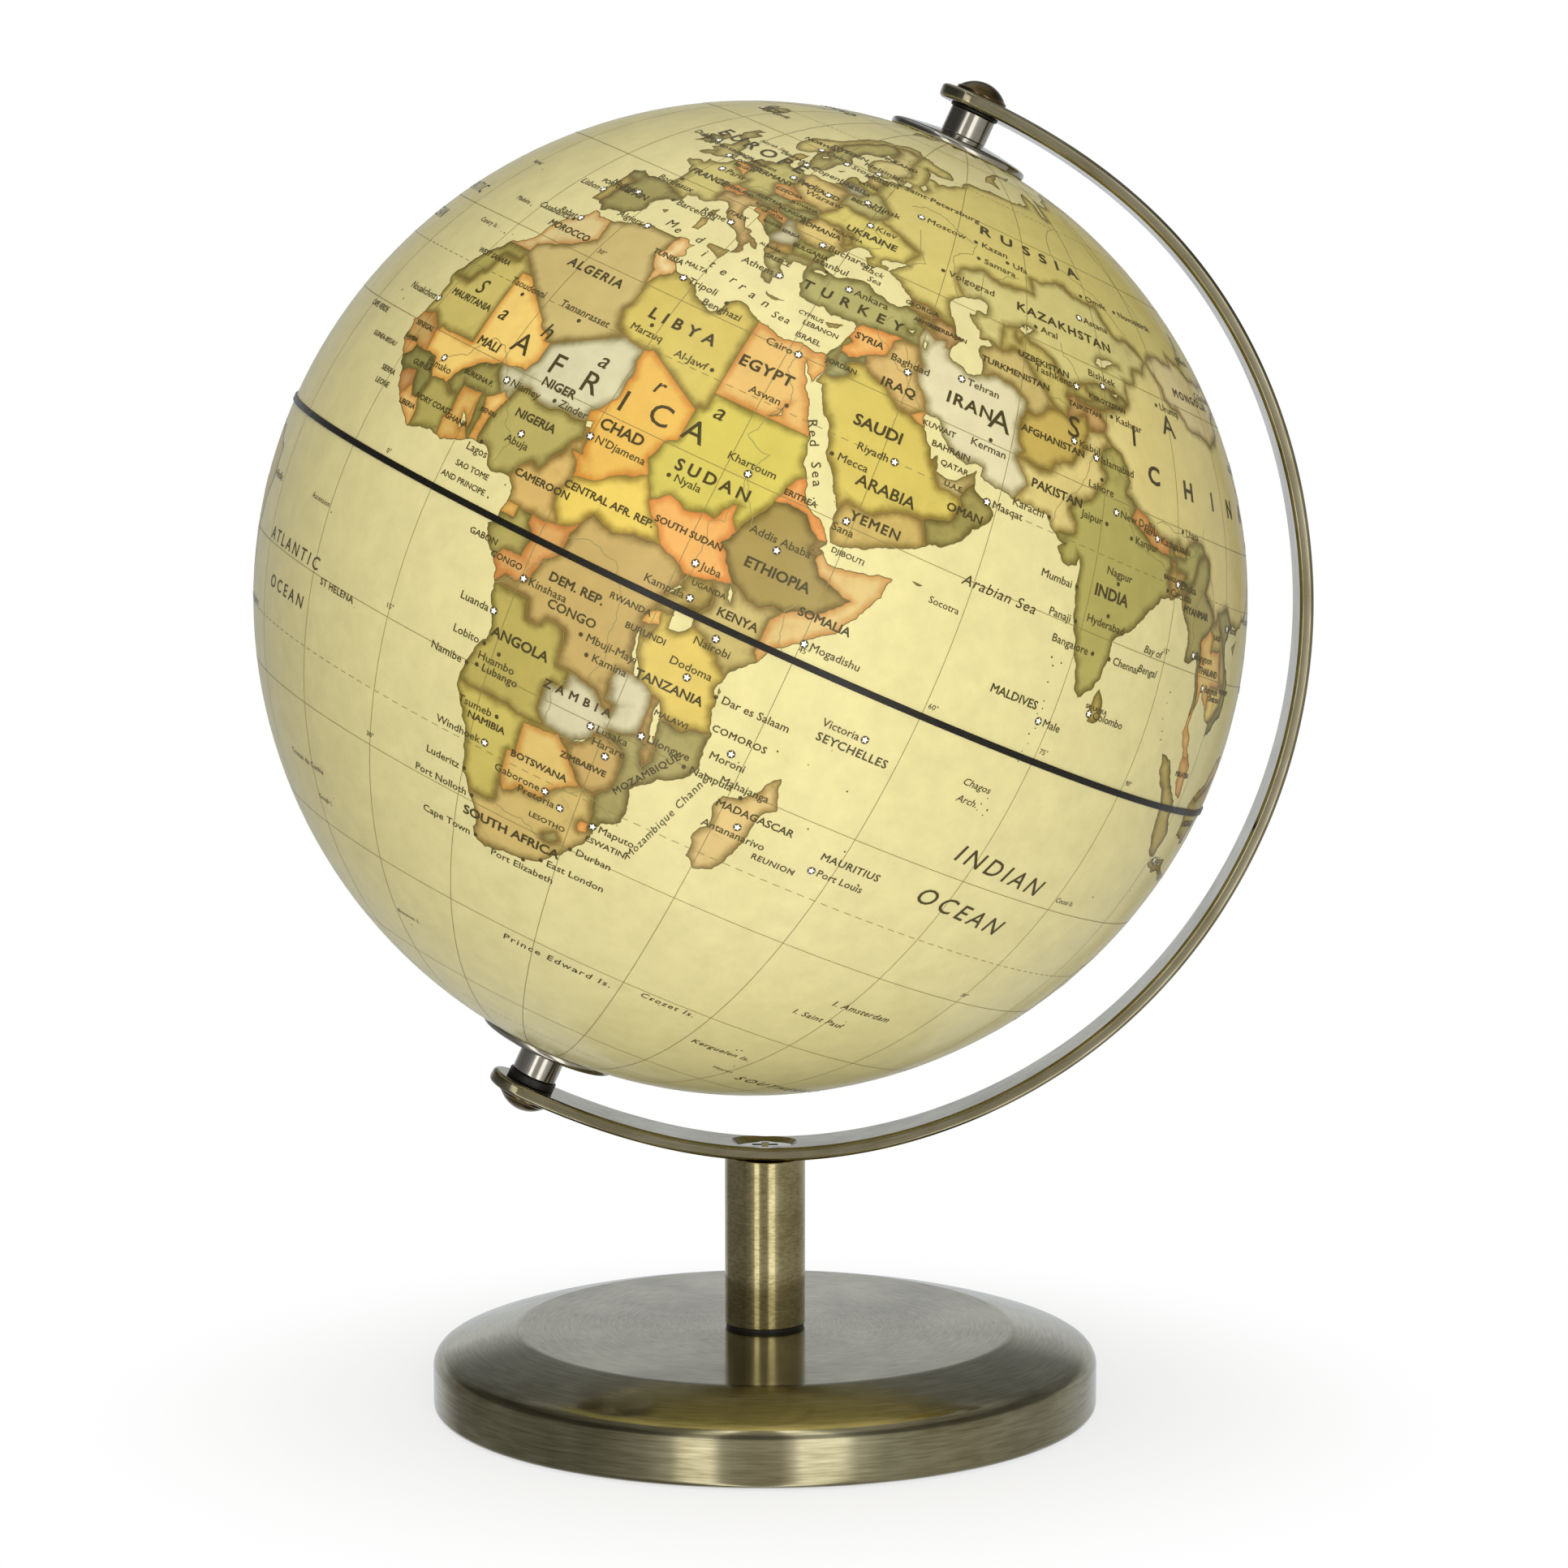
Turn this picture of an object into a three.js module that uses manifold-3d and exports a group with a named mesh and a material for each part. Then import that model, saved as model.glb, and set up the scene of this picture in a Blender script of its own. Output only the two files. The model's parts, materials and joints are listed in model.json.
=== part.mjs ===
// A 200 mm desk globe: a hollow two-part ball that spins on a tilted rod, held by a half-ring arm
// on a short pillar and a weighted round base.
// Millimetres, +Z up. The origin is the middle of the base's underside, the arm lies in the XZ plane,
// and the north pole leans towards +X.

import * as THREE from "three";
import { mergeVertices } from "three/addons/utils/BufferGeometryUtils.js";
import Module from "manifold-3d";

const wasm = await Module();
wasm.setup();

// Driving dimensions of the whole globe.
const TILT = THREE.MathUtils.degToRad(24.6);
const BALL_RADIUS = 100;
const BALL_CENTRE = new THREE.Vector3(-2.8, 0, 166);
const BALL_WALL = 2;
const GAP = 0.3; // left between neighbours that touch on the real object
const CONTACT = 0.1; // the same between flat faces that lie square to the axes

// Base and pillar, all on the Z axis.
const BASE_RADIUS = 68.2;
const BASE_HEIGHT = 16.5;
const BASE_WALL = 1;
const BASE_TOP_RADIUS = 50;
const BASE_LIFT = 0.4; // the steel rim stays this far above the table
const PAD = { radius: 65, thickness: 1.5 };
const WEIGHT = { radius: 61, pocketRadius: 12, pocketDepth: 7.5 };
const PILLAR = { radius: 8.25, wall: 1.5, gasket: 0.5 };
const PLUG_LENGTH = 15;
const M6 = { radius: 3, hexAcrossCorners: 11, headHeight: 4 };
const M6_WASHER = { radius: 9, springRadius: 5.4, thickness: 1.2 };
const BOLT_END = 28; // how high the base's bolt reaches into the pillar
const BOLT_HOLE = M6.radius + GAP;

// Arm: a flat strip bent by hand to a half ring, so it is not quite true. Its outer face lies at these
// distances from the ball's centre, one every 30 degrees from the north axle round to the south axle.
const ARM = {
  reach: [110.6, 112.6, 113.05, 113.95, 114.9, 114.4, 111.6],
  thickness: 2.8,
  width: 14,
  pastAxle: 1.2,
  steps: 60,
};
const SADDLE = { from: 120, to: 180, depth: 40 }; // the stretch of arm, in degrees, that the pillar is cut to
const ARM_SCREW = { headRadius: 5.7, topDrop: 0.7, length: 17 };
const SCREW_SLOT = { width: 1.5, length: 6.6, depth: 1.6 };
const COUNTERSINK_RADIUS = 6.6;

// Pole hardware, measured from the ball's centre along the pole axis.
const ROD = { radius: 2, pastArm: 2.1 };
const CAP = { radius: 14.3, lip: 1.1, crown: 101.9, crownRadius: 5.5, hole: 3.5 };
const BUSH = { bore: 2.2, shank: 5, neck: 3.2, inner: 92, shoulder: 100.1, outer: 101.7 };
const LOCK_RING = { outer: 9.5, low: 94, high: 96.9 };
const SPACER = { radius: 4.75, low: 102.3 };
const POLE_WASHER = { radius: 5.1, north: 0.6, south: 1.7 };
const DOME = { radius: 5.3, flange: 0.7, height: 3.1, domeRadius: 5 };
const BAND = { halfWidth: 0.8, thickness: 0.3 };
const JOINT_RING = { outer: 97, wall: 1.6, halfHeight: 6 };

const FINE = 48; // segments round the ball and the base
const MEDIUM = 36; // segments round the pillar, the weight and the pole caps
const COARSE = 24; // segments round the small turned pieces

// Finishes.
function finish(color, roughness, metalness) {
  return new THREE.MeshStandardMaterial({ color, roughness, metalness });
}
const finishes = {
  print: finish(0xe3d690, 0.3, 0),
  tape: finish(0x16150f, 0.4, 0),
  antiqueBrass: finish(0x8d8156, 0.35, 1),
  darkChrome: finish(0x6e665c, 0.12, 1),
  blackNylon: finish(0x0d0d0c, 0.5, 0),
  whiteNylon: finish(0xe8e6de, 0.5, 0),
  zincSteel: finish(0xa9abac, 0.35, 1),
  castIron: finish(0x3c3d3e, 0.7, 1),
  foam: finish(0x1c1c1c, 0.9, 0),
};

// A mesh geometry with only positions and shared vertices, as manifold-3d takes it.
function toSolid(geometry) {
  const bare = geometry.clone();
  bare.deleteAttribute("normal");
  bare.deleteAttribute("uv");
  const merged = mergeVertices(bare, 1e-4);
  return new wasm.Manifold(
    new wasm.Mesh({
      numProp: 3,
      vertProperties: merged.attributes.position.array,
      triVerts: new Uint32Array(merged.index.array),
    }),
  );
}

function toGeometry(solid) {
  const mesh = solid.getMesh();
  const geometry = new THREE.BufferGeometry();
  geometry.setAttribute("position", new THREE.BufferAttribute(mesh.vertProperties, 3));
  geometry.setIndex(new THREE.BufferAttribute(mesh.triVerts, 1));
  geometry.computeVertexNormals();
  return geometry;
}

// A turned piece about the local Z axis. The profile is a list of [radius, height], anticlockwise.
function turned(profile, segments = COARSE) {
  const points = profile.map(([radius, height]) => new THREE.Vector2(radius, height));
  return new THREE.LatheGeometry(points, segments).rotateX(Math.PI / 2);
}

// A turned piece with a hole through it: its profile closes on itself.
function turnedRing(profile, segments = COARSE) {
  return turned([...profile, profile[0]], segments);
}

function tube(inner, outer, low, high, segments = COARSE) {
  return turnedRing([[inner, low], [outer, low], [outer, high], [inner, high]], segments);
}

function rod(radius, low, high, segments = COARSE) {
  return turned([[0, low], [radius, low], [radius, high], [0, high]], segments);
}

// Points on an arc of a circle about [x, y], from one angle to another in degrees.
function arc(x, y, radius, from, to, steps) {
  return Array.from({ length: steps + 1 }, (_, i) => {
    const angle = THREE.MathUtils.degToRad(from + ((to - from) * i) / steps);
    return [x + radius * Math.cos(angle), y + radius * Math.sin(angle)];
  });
}

const part = new THREE.Group();

// The tilted group turns its own Z into the pole axis. The south group is the same from the other pole.
const northAxis = new THREE.Group();
northAxis.position.copy(BALL_CENTRE);
northAxis.rotation.y = TILT;
part.add(northAxis);
const southAxis = new THREE.Group();
southAxis.rotation.x = Math.PI;
northAxis.add(southAxis);

function place(name, geometry, material, parent = part) {
  const mesh = new THREE.Mesh(geometry, material);
  mesh.name = name;
  parent.add(mesh);
  return mesh;
}

// ---- Base ----

// Outer outline of the spun cover, from the rim up to the flat top: a rounded rim, an upright side,
// a tight edge and a long shallow shoulder.
const baseOutline = [
  ...arc(BASE_RADIUS - 1.5, BASE_LIFT + 1.5, 1.5, -90, 0, 3),
  ...arc(BASE_RADIUS - 2, BASE_HEIGHT - 7, 2, 0, 60, 3),
  [66, BASE_HEIGHT - 4.6],
  [60, BASE_HEIGHT - 2.2],
  [55, BASE_HEIGHT - 0.7],
  [BASE_TOP_RADIUS, BASE_HEIGHT],
];

const baseShell = turnedRing(
  [
    ...baseOutline,
    [BOLT_HOLE, BASE_HEIGHT],
    [BOLT_HOLE, BASE_HEIGHT - BASE_WALL],
    [BASE_TOP_RADIUS, BASE_HEIGHT - BASE_WALL],
    [60, BASE_HEIGHT - 2.2 - BASE_WALL],
    [66, BASE_HEIGHT - 4.8 - BASE_WALL],
    [BASE_RADIUS - BASE_WALL, BASE_HEIGHT - 7],
    [BASE_RADIUS - BASE_WALL, BASE_LIFT + 1.7],
    [BASE_RADIUS - 1.5, BASE_LIFT + BASE_WALL],
  ],
  FINE,
);
place("base_shell", baseShell, finishes.antiqueBrass);

place("base_pad", rod(PAD.radius, 0, PAD.thickness, FINE), finishes.foam);

const weightLow = PAD.thickness + CONTACT;
const weightHigh = BASE_HEIGHT - BASE_WALL - CONTACT;
const pocketRoof = weightLow + WEIGHT.pocketDepth;
const weight = turnedRing(
  [
    [WEIGHT.pocketRadius, weightLow],
    [WEIGHT.radius, weightLow],
    [WEIGHT.radius, weightHigh - 3],
    [BASE_TOP_RADIUS - 1, weightHigh],
    [BOLT_HOLE, weightHigh],
    [BOLT_HOLE, pocketRoof],
    [WEIGHT.pocketRadius, pocketRoof],
  ],
  MEDIUM,
);
place("base_weight", weight, finishes.castIron);

// The bolt goes up through the weight and the cover into the pillar. Its head sits in the weight's pocket.
const washerLow = pocketRoof - CONTACT - M6_WASHER.thickness;
const springLow = washerLow - CONTACT - M6_WASHER.thickness;
const headHigh = springLow - CONTACT;
const baseWasher = tube(BOLT_HOLE, M6_WASHER.radius, washerLow, washerLow + M6_WASHER.thickness);
place("base_washer", baseWasher, finishes.zincSteel);

// A split ring: a narrow washer with a slit cut through one side.
const slit = { width: 0.8, reach: 4 };
const slitCut = new THREE.BoxGeometry(slit.reach, slit.width, slit.reach);
slitCut.translate((BOLT_HOLE + M6_WASHER.springRadius) / 2, 0, springLow);
const springRing = tube(BOLT_HOLE, M6_WASHER.springRadius, springLow, springLow + M6_WASHER.thickness);
place("base_spring_washer", toGeometry(toSolid(springRing).subtract(toSolid(slitCut))), finishes.zincSteel);

function hexBolt(headLow, headTop, shankTop) {
  const head = new THREE.CylinderGeometry(M6.hexAcrossCorners / 2, M6.hexAcrossCorners / 2, headTop - headLow, 6);
  head.rotateX(Math.PI / 2).translate(0, 0, (headLow + headTop) / 2);
  const shank = rod(M6.radius, headTop - 1, shankTop);
  return toGeometry(toSolid(head).add(toSolid(shank)));
}
place("base_bolt", hexBolt(headHigh - M6.headHeight, headHigh, BOLT_END), finishes.zincSteel);

// ---- Pillar ----

const gasketLow = BASE_HEIGHT + CONTACT;
const pillarLow = gasketLow + PILLAR.gasket + CONTACT;
const pillarBore = PILLAR.radius - PILLAR.wall;
const plugRadius = pillarBore - GAP;
const gasket = tube(BOLT_HOLE, PILLAR.radius - 0.3, gasketLow, gasketLow + PILLAR.gasket);
place("pillar_gasket", gasket, finishes.blackNylon);

// Distance of the arm's outer face from the ball's centre, so many degrees round from the north axle.
// It runs smoothly through the listed distances and lies square to the axle at both ends.
function armReach(degrees) {
  const knots = ARM.reach;
  const span = 180 / (knots.length - 1);
  const first = Math.min(Math.max(Math.floor(degrees / span), 0), knots.length - 2);
  const t = degrees / span - first;
  const slope = (k) => (k === 0 || k === knots.length - 1 ? 0 : (knots[k + 1] - knots[k - 1]) / 2);
  return (
    knots[first] * (2 * t ** 3 - 3 * t ** 2 + 1) +
    slope(first) * (t ** 3 - 2 * t ** 2 + t) +
    knots[first + 1] * (3 * t ** 2 - 2 * t ** 3) +
    slope(first + 1) * (t ** 3 - t ** 2)
  );
}

// Points along the arm, this far inside its outer face, in the tilted group's XZ plane.
function armCurve(inset, from, to) {
  return Array.from({ length: ARM.steps + 1 }, (_, i) => {
    const degrees = from + ((to - from) * i) / ARM.steps;
    const angle = THREE.MathUtils.degToRad(degrees);
    const reach = armReach(degrees) - inset;
    return new THREE.Vector2(reach * Math.sin(angle), reach * Math.cos(angle));
  });
}

// A flat outline in that plane made as deep as given, half of it on either side of the plane.
function armExtrude(points, depth) {
  const solid = new THREE.ExtrudeGeometry(new THREE.Shape(points), { depth, bevelEnabled: false });
  return solid.translate(0, 0, -depth / 2).rotateX(Math.PI / 2);
}

// What the pillar's head is cut by: all inside the arm's outer face, and the screw's conical seat.
const pillarTop = 54;
const saddle = armExtrude([...armCurve(-GAP, SADDLE.from, SADDLE.to), new THREE.Vector2(0, 0)], SADDLE.depth);
saddle.rotateY(TILT).translate(BALL_CENTRE.x, BALL_CENTRE.y, BALL_CENTRE.z);
const screwAngle = 180 - THREE.MathUtils.radToDeg(TILT + Math.asin(-BALL_CENTRE.x / ARM.reach[5]));
const screwSeatTop = BALL_CENTRE.z - armReach(screwAngle) + ARM.thickness;
const seatDepth = 4;
const screwSeat = turned([
  [0, screwSeatTop - seatDepth],
  [COUNTERSINK_RADIUS - seatDepth, screwSeatTop - seatDepth],
  [COUNTERSINK_RADIUS + 1, screwSeatTop + 1],
  [0, screwSeatTop + 1],
]);
const pillarBlank = tube(pillarBore, PILLAR.radius, pillarLow, pillarTop, MEDIUM);
const pillarTube = toSolid(pillarBlank).subtract(toSolid(saddle));
place("pillar_tube", toGeometry(pillarTube), finishes.antiqueBrass);
const lowerPlug = tube(BOLT_HOLE, plugRadius, pillarLow, pillarLow + PLUG_LENGTH);
place("pillar_lower_plug", lowerPlug, finishes.zincSteel);
const upperPlug = toSolid(tube(BOLT_HOLE, plugRadius, pillarTop - PLUG_LENGTH, pillarTop))
  .subtract(toSolid(saddle))
  .subtract(toSolid(screwSeat));
place("pillar_upper_plug", toGeometry(upperPlug), finishes.zincSteel);

// ---- Arm ----

// Half ring in the tilted group's XZ plane, from the north axle round +X to the south axle,
// with a round end past each axle.
const endAngle = THREE.MathUtils.radToDeg(ARM.pastAxle / ARM.reach[0]);
const armStrip = armExtrude(
  [...armCurve(0, -endAngle, 180 + endAngle), ...armCurve(ARM.thickness, 180 + endAngle, -endAngle)],
  ARM.width,
);

// One round end with its place past the axle.
function armEnd(reach) {
  return rod(ARM.width / 2, reach - ARM.thickness, reach).translate(-ARM.pastAxle, 0, 0);
}
const northReach = ARM.reach[0];
const southReach = ARM.reach[ARM.reach.length - 1];

// The screw stands on the part's own Z axis, so its hole is moved into the tilted group's frame.
function intoTilt(geometry) {
  return geometry.clone().translate(-BALL_CENTRE.x, -BALL_CENTRE.y, -BALL_CENTRE.z).rotateY(-TILT);
}
const axleHoles = rod(ROD.radius + GAP, -2 * BALL_RADIUS, 2 * BALL_RADIUS);
const screwClearance = rod(BOLT_HOLE, screwSeatTop - 2 * seatDepth, screwSeatTop);
const arm = toSolid(armStrip)
  .add(toSolid(armEnd(northReach)))
  .add(toSolid(armEnd(southReach).rotateX(Math.PI)))
  .subtract(toSolid(axleHoles))
  .subtract(toSolid(intoTilt(screwSeat)))
  .subtract(toSolid(intoTilt(screwClearance)));
place("arm", toGeometry(arm), finishes.antiqueBrass, northAxis);

// Countersunk cross-slot screw, head just below the arm's inner face.
const headTop = screwSeatTop - ARM_SCREW.topDrop;
const coneHeight = ARM_SCREW.headRadius - M6.radius;
const screwBody = turned([
  [0, headTop - ARM_SCREW.length],
  [M6.radius, headTop - ARM_SCREW.length],
  [M6.radius, headTop - coneHeight],
  [ARM_SCREW.headRadius, headTop],
  [0, headTop],
]);
const slot = new THREE.BoxGeometry(SCREW_SLOT.length, SCREW_SLOT.width, 2 * SCREW_SLOT.depth);
slot.translate(0, 0, headTop);
const crossSlot = toSolid(slot).add(toSolid(slot.clone().rotateZ(Math.PI / 2)));
place("arm_screw", toGeometry(toSolid(screwBody).subtract(crossSlot)), finishes.darkChrome);

// ---- Axle ----

const axleRod = rod(ROD.radius, -southReach - ROD.pastArm, northReach + ROD.pastArm);
place("axle_rod", axleRod, finishes.zincSteel, northAxis);

// ---- Ball ----

// Outline of a half ball's wall, from the equator to the pole hole, and back inside.
const poleHole = BUSH.shank + GAP;
function shellOutline(radius, hole, steps) {
  const top = THREE.MathUtils.radToDeg(Math.acos(hole / radius));
  const bottom = THREE.MathUtils.radToDeg(Math.asin(CONTACT / radius));
  return arc(0, 0, radius, bottom, top, steps);
}
const hemisphere = turnedRing(
  [
    ...shellOutline(BALL_RADIUS, poleHole, 12),
    ...shellOutline(BALL_RADIUS - BALL_WALL, poleHole, 8).reverse(),
  ],
  FINE,
);

const bandLow = BALL_RADIUS + CONTACT;
const band = tube(bandLow, bandLow + BAND.thickness, -BAND.halfWidth, BAND.halfWidth, FINE);
place("equator_band", band, finishes.tape, northAxis);

const jointRing = tube(
  JOINT_RING.outer - JOINT_RING.wall,
  JOINT_RING.outer,
  -JOINT_RING.halfHeight,
  JOINT_RING.halfHeight,
  FINE,
);
place("joint_ring", jointRing, finishes.whiteNylon, northAxis);

// ---- Pole hardware ----

const capSeat = BALL_RADIUS + GAP;
const capSeatAngle = THREE.MathUtils.radToDeg(Math.acos(CAP.radius / capSeat));
const capHoleAngle = THREE.MathUtils.radToDeg(Math.acos(CAP.hole / capSeat));
const capRim = capSeat * Math.sin(THREE.MathUtils.degToRad(capSeatAngle));
const poleCap = turnedRing(
  [
    ...arc(0, 0, capSeat, capSeatAngle, capHoleAngle, 4).reverse(),
    [CAP.radius, capRim + CAP.lip],
    [CAP.radius - 1, capRim + CAP.lip + 0.6],
    [9.5, CAP.crown - 0.5],
    [CAP.crownRadius, CAP.crown],
    [CAP.hole, CAP.crown],
  ],
  MEDIUM,
);

const bushing = turnedRing([
  [BUSH.bore, BUSH.inner],
  [BUSH.shank, BUSH.inner],
  [BUSH.shank, BUSH.shoulder],
  [BUSH.neck, BUSH.shoulder],
  [BUSH.neck, BUSH.outer],
  [BUSH.bore, BUSH.outer],
]);

const lockRing = tube(poleHole, LOCK_RING.outer, LOCK_RING.low, LOCK_RING.high);

// A domed nut on the arm's outer face, bored from below for the end of the rod.
function domeNut(reach) {
  const low = reach + GAP;
  const top = low + DOME.height;
  const rise = DOME.height - DOME.flange;
  const sphere = (DOME.domeRadius ** 2 + rise ** 2) / (2 * rise);
  const start = THREE.MathUtils.radToDeg(Math.acos(DOME.domeRadius / sphere));
  return turned([
    [0, reach + ROD.pastArm + GAP],
    [BUSH.bore, reach + ROD.pastArm + GAP],
    [BUSH.bore, low],
    [DOME.radius, low],
    [DOME.radius, low + DOME.flange],
    ...arc(0, top - sphere, sphere, start, 90, 6).slice(0, -1),
    [0, top],
  ]);
}

// The ball's pieces are the same at both poles. The spacer, washer and nut follow the arm's end there.
for (const [pole, axis, reach] of [["north", northAxis, northReach], ["south", southAxis, southReach]]) {
  place(`${pole}_hemisphere`, hemisphere, finishes.print, axis);
  place(`${pole}_pole_cap`, poleCap, finishes.darkChrome, axis);
  place(`${pole}_bushing`, bushing, finishes.whiteNylon, axis);
  place(`${pole}_lock_ring`, lockRing, finishes.whiteNylon, axis);
  const ringHigh = reach - ARM.thickness - GAP;
  const ringLow = ringHigh - POLE_WASHER[pole];
  const spacer = tube(BUSH.bore, SPACER.radius, SPACER.low, ringLow - CONTACT);
  const washer = tube(BUSH.bore, POLE_WASHER.radius, ringLow, ringHigh);
  place(`${pole}_spacer`, spacer, finishes.darkChrome, axis);
  place(`${pole}_washer`, washer, finishes.blackNylon, axis);
  place(`${pole}_dome_nut`, domeNut(reach), finishes.darkChrome, axis);
}

export default part;
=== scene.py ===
import json
import math
import random
import bmesh
import bpy
from mathutils import Matrix, Vector
from mathutils.geometry import delaunay_2d_cdt
from mathutils.kdtree import KDTree


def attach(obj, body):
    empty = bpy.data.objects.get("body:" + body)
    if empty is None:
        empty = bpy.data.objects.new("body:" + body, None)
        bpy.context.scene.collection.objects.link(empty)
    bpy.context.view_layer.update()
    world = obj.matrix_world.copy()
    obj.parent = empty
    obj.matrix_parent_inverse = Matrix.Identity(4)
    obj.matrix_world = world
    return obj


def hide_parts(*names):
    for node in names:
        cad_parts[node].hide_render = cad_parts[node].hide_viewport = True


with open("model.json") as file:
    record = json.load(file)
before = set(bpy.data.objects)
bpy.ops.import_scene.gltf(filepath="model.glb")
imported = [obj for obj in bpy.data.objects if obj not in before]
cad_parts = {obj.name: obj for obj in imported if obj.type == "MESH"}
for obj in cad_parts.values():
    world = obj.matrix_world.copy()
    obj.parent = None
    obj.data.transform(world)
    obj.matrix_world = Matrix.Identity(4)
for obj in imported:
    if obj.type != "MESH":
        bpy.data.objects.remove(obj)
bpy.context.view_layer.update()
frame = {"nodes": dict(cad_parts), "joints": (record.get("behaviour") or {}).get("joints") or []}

mm = 0.001
spin = next(joint for joint in frame["joints"] if joint["name"] == "globe_spin")
ballCentre = Vector(spin["pos_m"])
poleAxis = Vector(spin["axis"]).normalized()
tilt = math.atan2(poleAxis.x, poleAxis.z)
northPlace = Matrix.Translation(ballCentre) @ Matrix.Rotation(tilt, 4, "Y")
southPlace = northPlace @ Matrix.Rotation(math.pi, 4, "X")
boltHole = 3.3  # radius in mm of the holes for the M6 bolt and screw
roundSteps = 96  # flats on a small turned piece
print("frame loaded, pole leans", round(math.degrees(tilt), 1), "degrees")


def hexColor(code, alpha=1.0):  # an sRGB hex value as the linear colour a shader takes
    channels = [int(code[i:i + 2], 16) / 255 for i in (0, 2, 4)]
    return [c / 12.92 if c <= 0.04045 else ((c + 0.055) / 1.055) ** 2.4 for c in channels] + [alpha]


def addNode(tree, kind, links=None, **settings):
    # settings named after a socket fill it, the others are the node's own; links are socket: source pairs
    node = tree.nodes.new(kind)
    for key, value in settings.items():
        setattr(node, key, value)
    for socket, source in (links or {}).items():
        if isinstance(source, bpy.types.NodeSocket):
            tree.links.new(source, node.inputs[socket])
        else:
            node.inputs[socket].default_value = source
    return node


def newMaterial(name):
    material = bpy.data.materials.new(name)
    material.use_nodes = True
    tree = material.node_tree
    return material, tree, tree.nodes["Principled BSDF"]


def addPiece(name, bm, material, body, replaced=(), sharp=35, weighted=True):
    mesh = bpy.data.meshes.new(name)
    bm.to_mesh(mesh)
    bm.free()
    mesh.materials.append(material)
    for face in mesh.polygons:
        face.use_smooth = True
    mesh.set_sharp_from_angle(angle=math.radians(sharp))
    piece = bpy.data.objects.new(name, mesh)
    bpy.context.collection.objects.link(piece)
    if weighted:
        piece.modifiers.new("weightedNormals", "WEIGHTED_NORMAL").keep_sharp = True
    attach(piece, body)
    if replaced:
        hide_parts(*replaced)
    return piece


def turn(profile, steps, place=Matrix()):
    # a turned piece: (radius, height) or (radius, height, rounding) corners in mm, spun about Z
    bm = bmesh.new()
    corners = [bm.verts.new((corner[0] * mm, 0, corner[1] * mm)) for corner in profile]
    for pair in zip(corners, corners[1:]):
        bm.edges.new(pair)
    if profile[0][0] > 0:
        bm.edges.new((corners[-1], corners[0]))
    for vert, corner in zip(corners, profile):
        if len(corner) > 2:
            bmesh.ops.bevel(bm, geom=[vert], affect="VERTICES", offset=corner[2] * mm, segments=4,
                            profile=0.5, material=-1, clamp_overlap=False)
    bmesh.ops.spin(bm, geom=bm.verts[:] + bm.edges[:], cent=(0, 0, 0), axis=(0, 0, 1),
                   angle=2 * math.pi, steps=steps, use_merge=True)
    bmesh.ops.remove_doubles(bm, verts=bm.verts, dist=1e-7)
    bmesh.ops.dissolve_degenerate(bm, dist=1e-8, edges=bm.edges)
    bmesh.ops.recalc_face_normals(bm, faces=bm.faces)
    bm.transform(place)
    return bm


def cutWith(piece, cutterMesh):  # a boolean cut, applied at once
    cutter = bpy.data.objects.new("cutter", cutterMesh)
    bpy.context.collection.objects.link(cutter)
    cut = piece.modifiers.new("cut", "BOOLEAN")
    cut.object = cutter
    cut.operation = "DIFFERENCE"
    cut.solver = "EXACT"
    depsgraph = bpy.context.evaluated_depsgraph_get()
    result = bpy.data.meshes.new_from_object(piece.evaluated_get(depsgraph))
    piece.modifiers.clear()
    piece.data = result
    bpy.data.objects.remove(cutter)
    return piece


def meshFrom(bm):
    mesh = bpy.data.meshes.new("shape")
    bm.to_mesh(mesh)
    bm.free()
    return mesh


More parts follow.
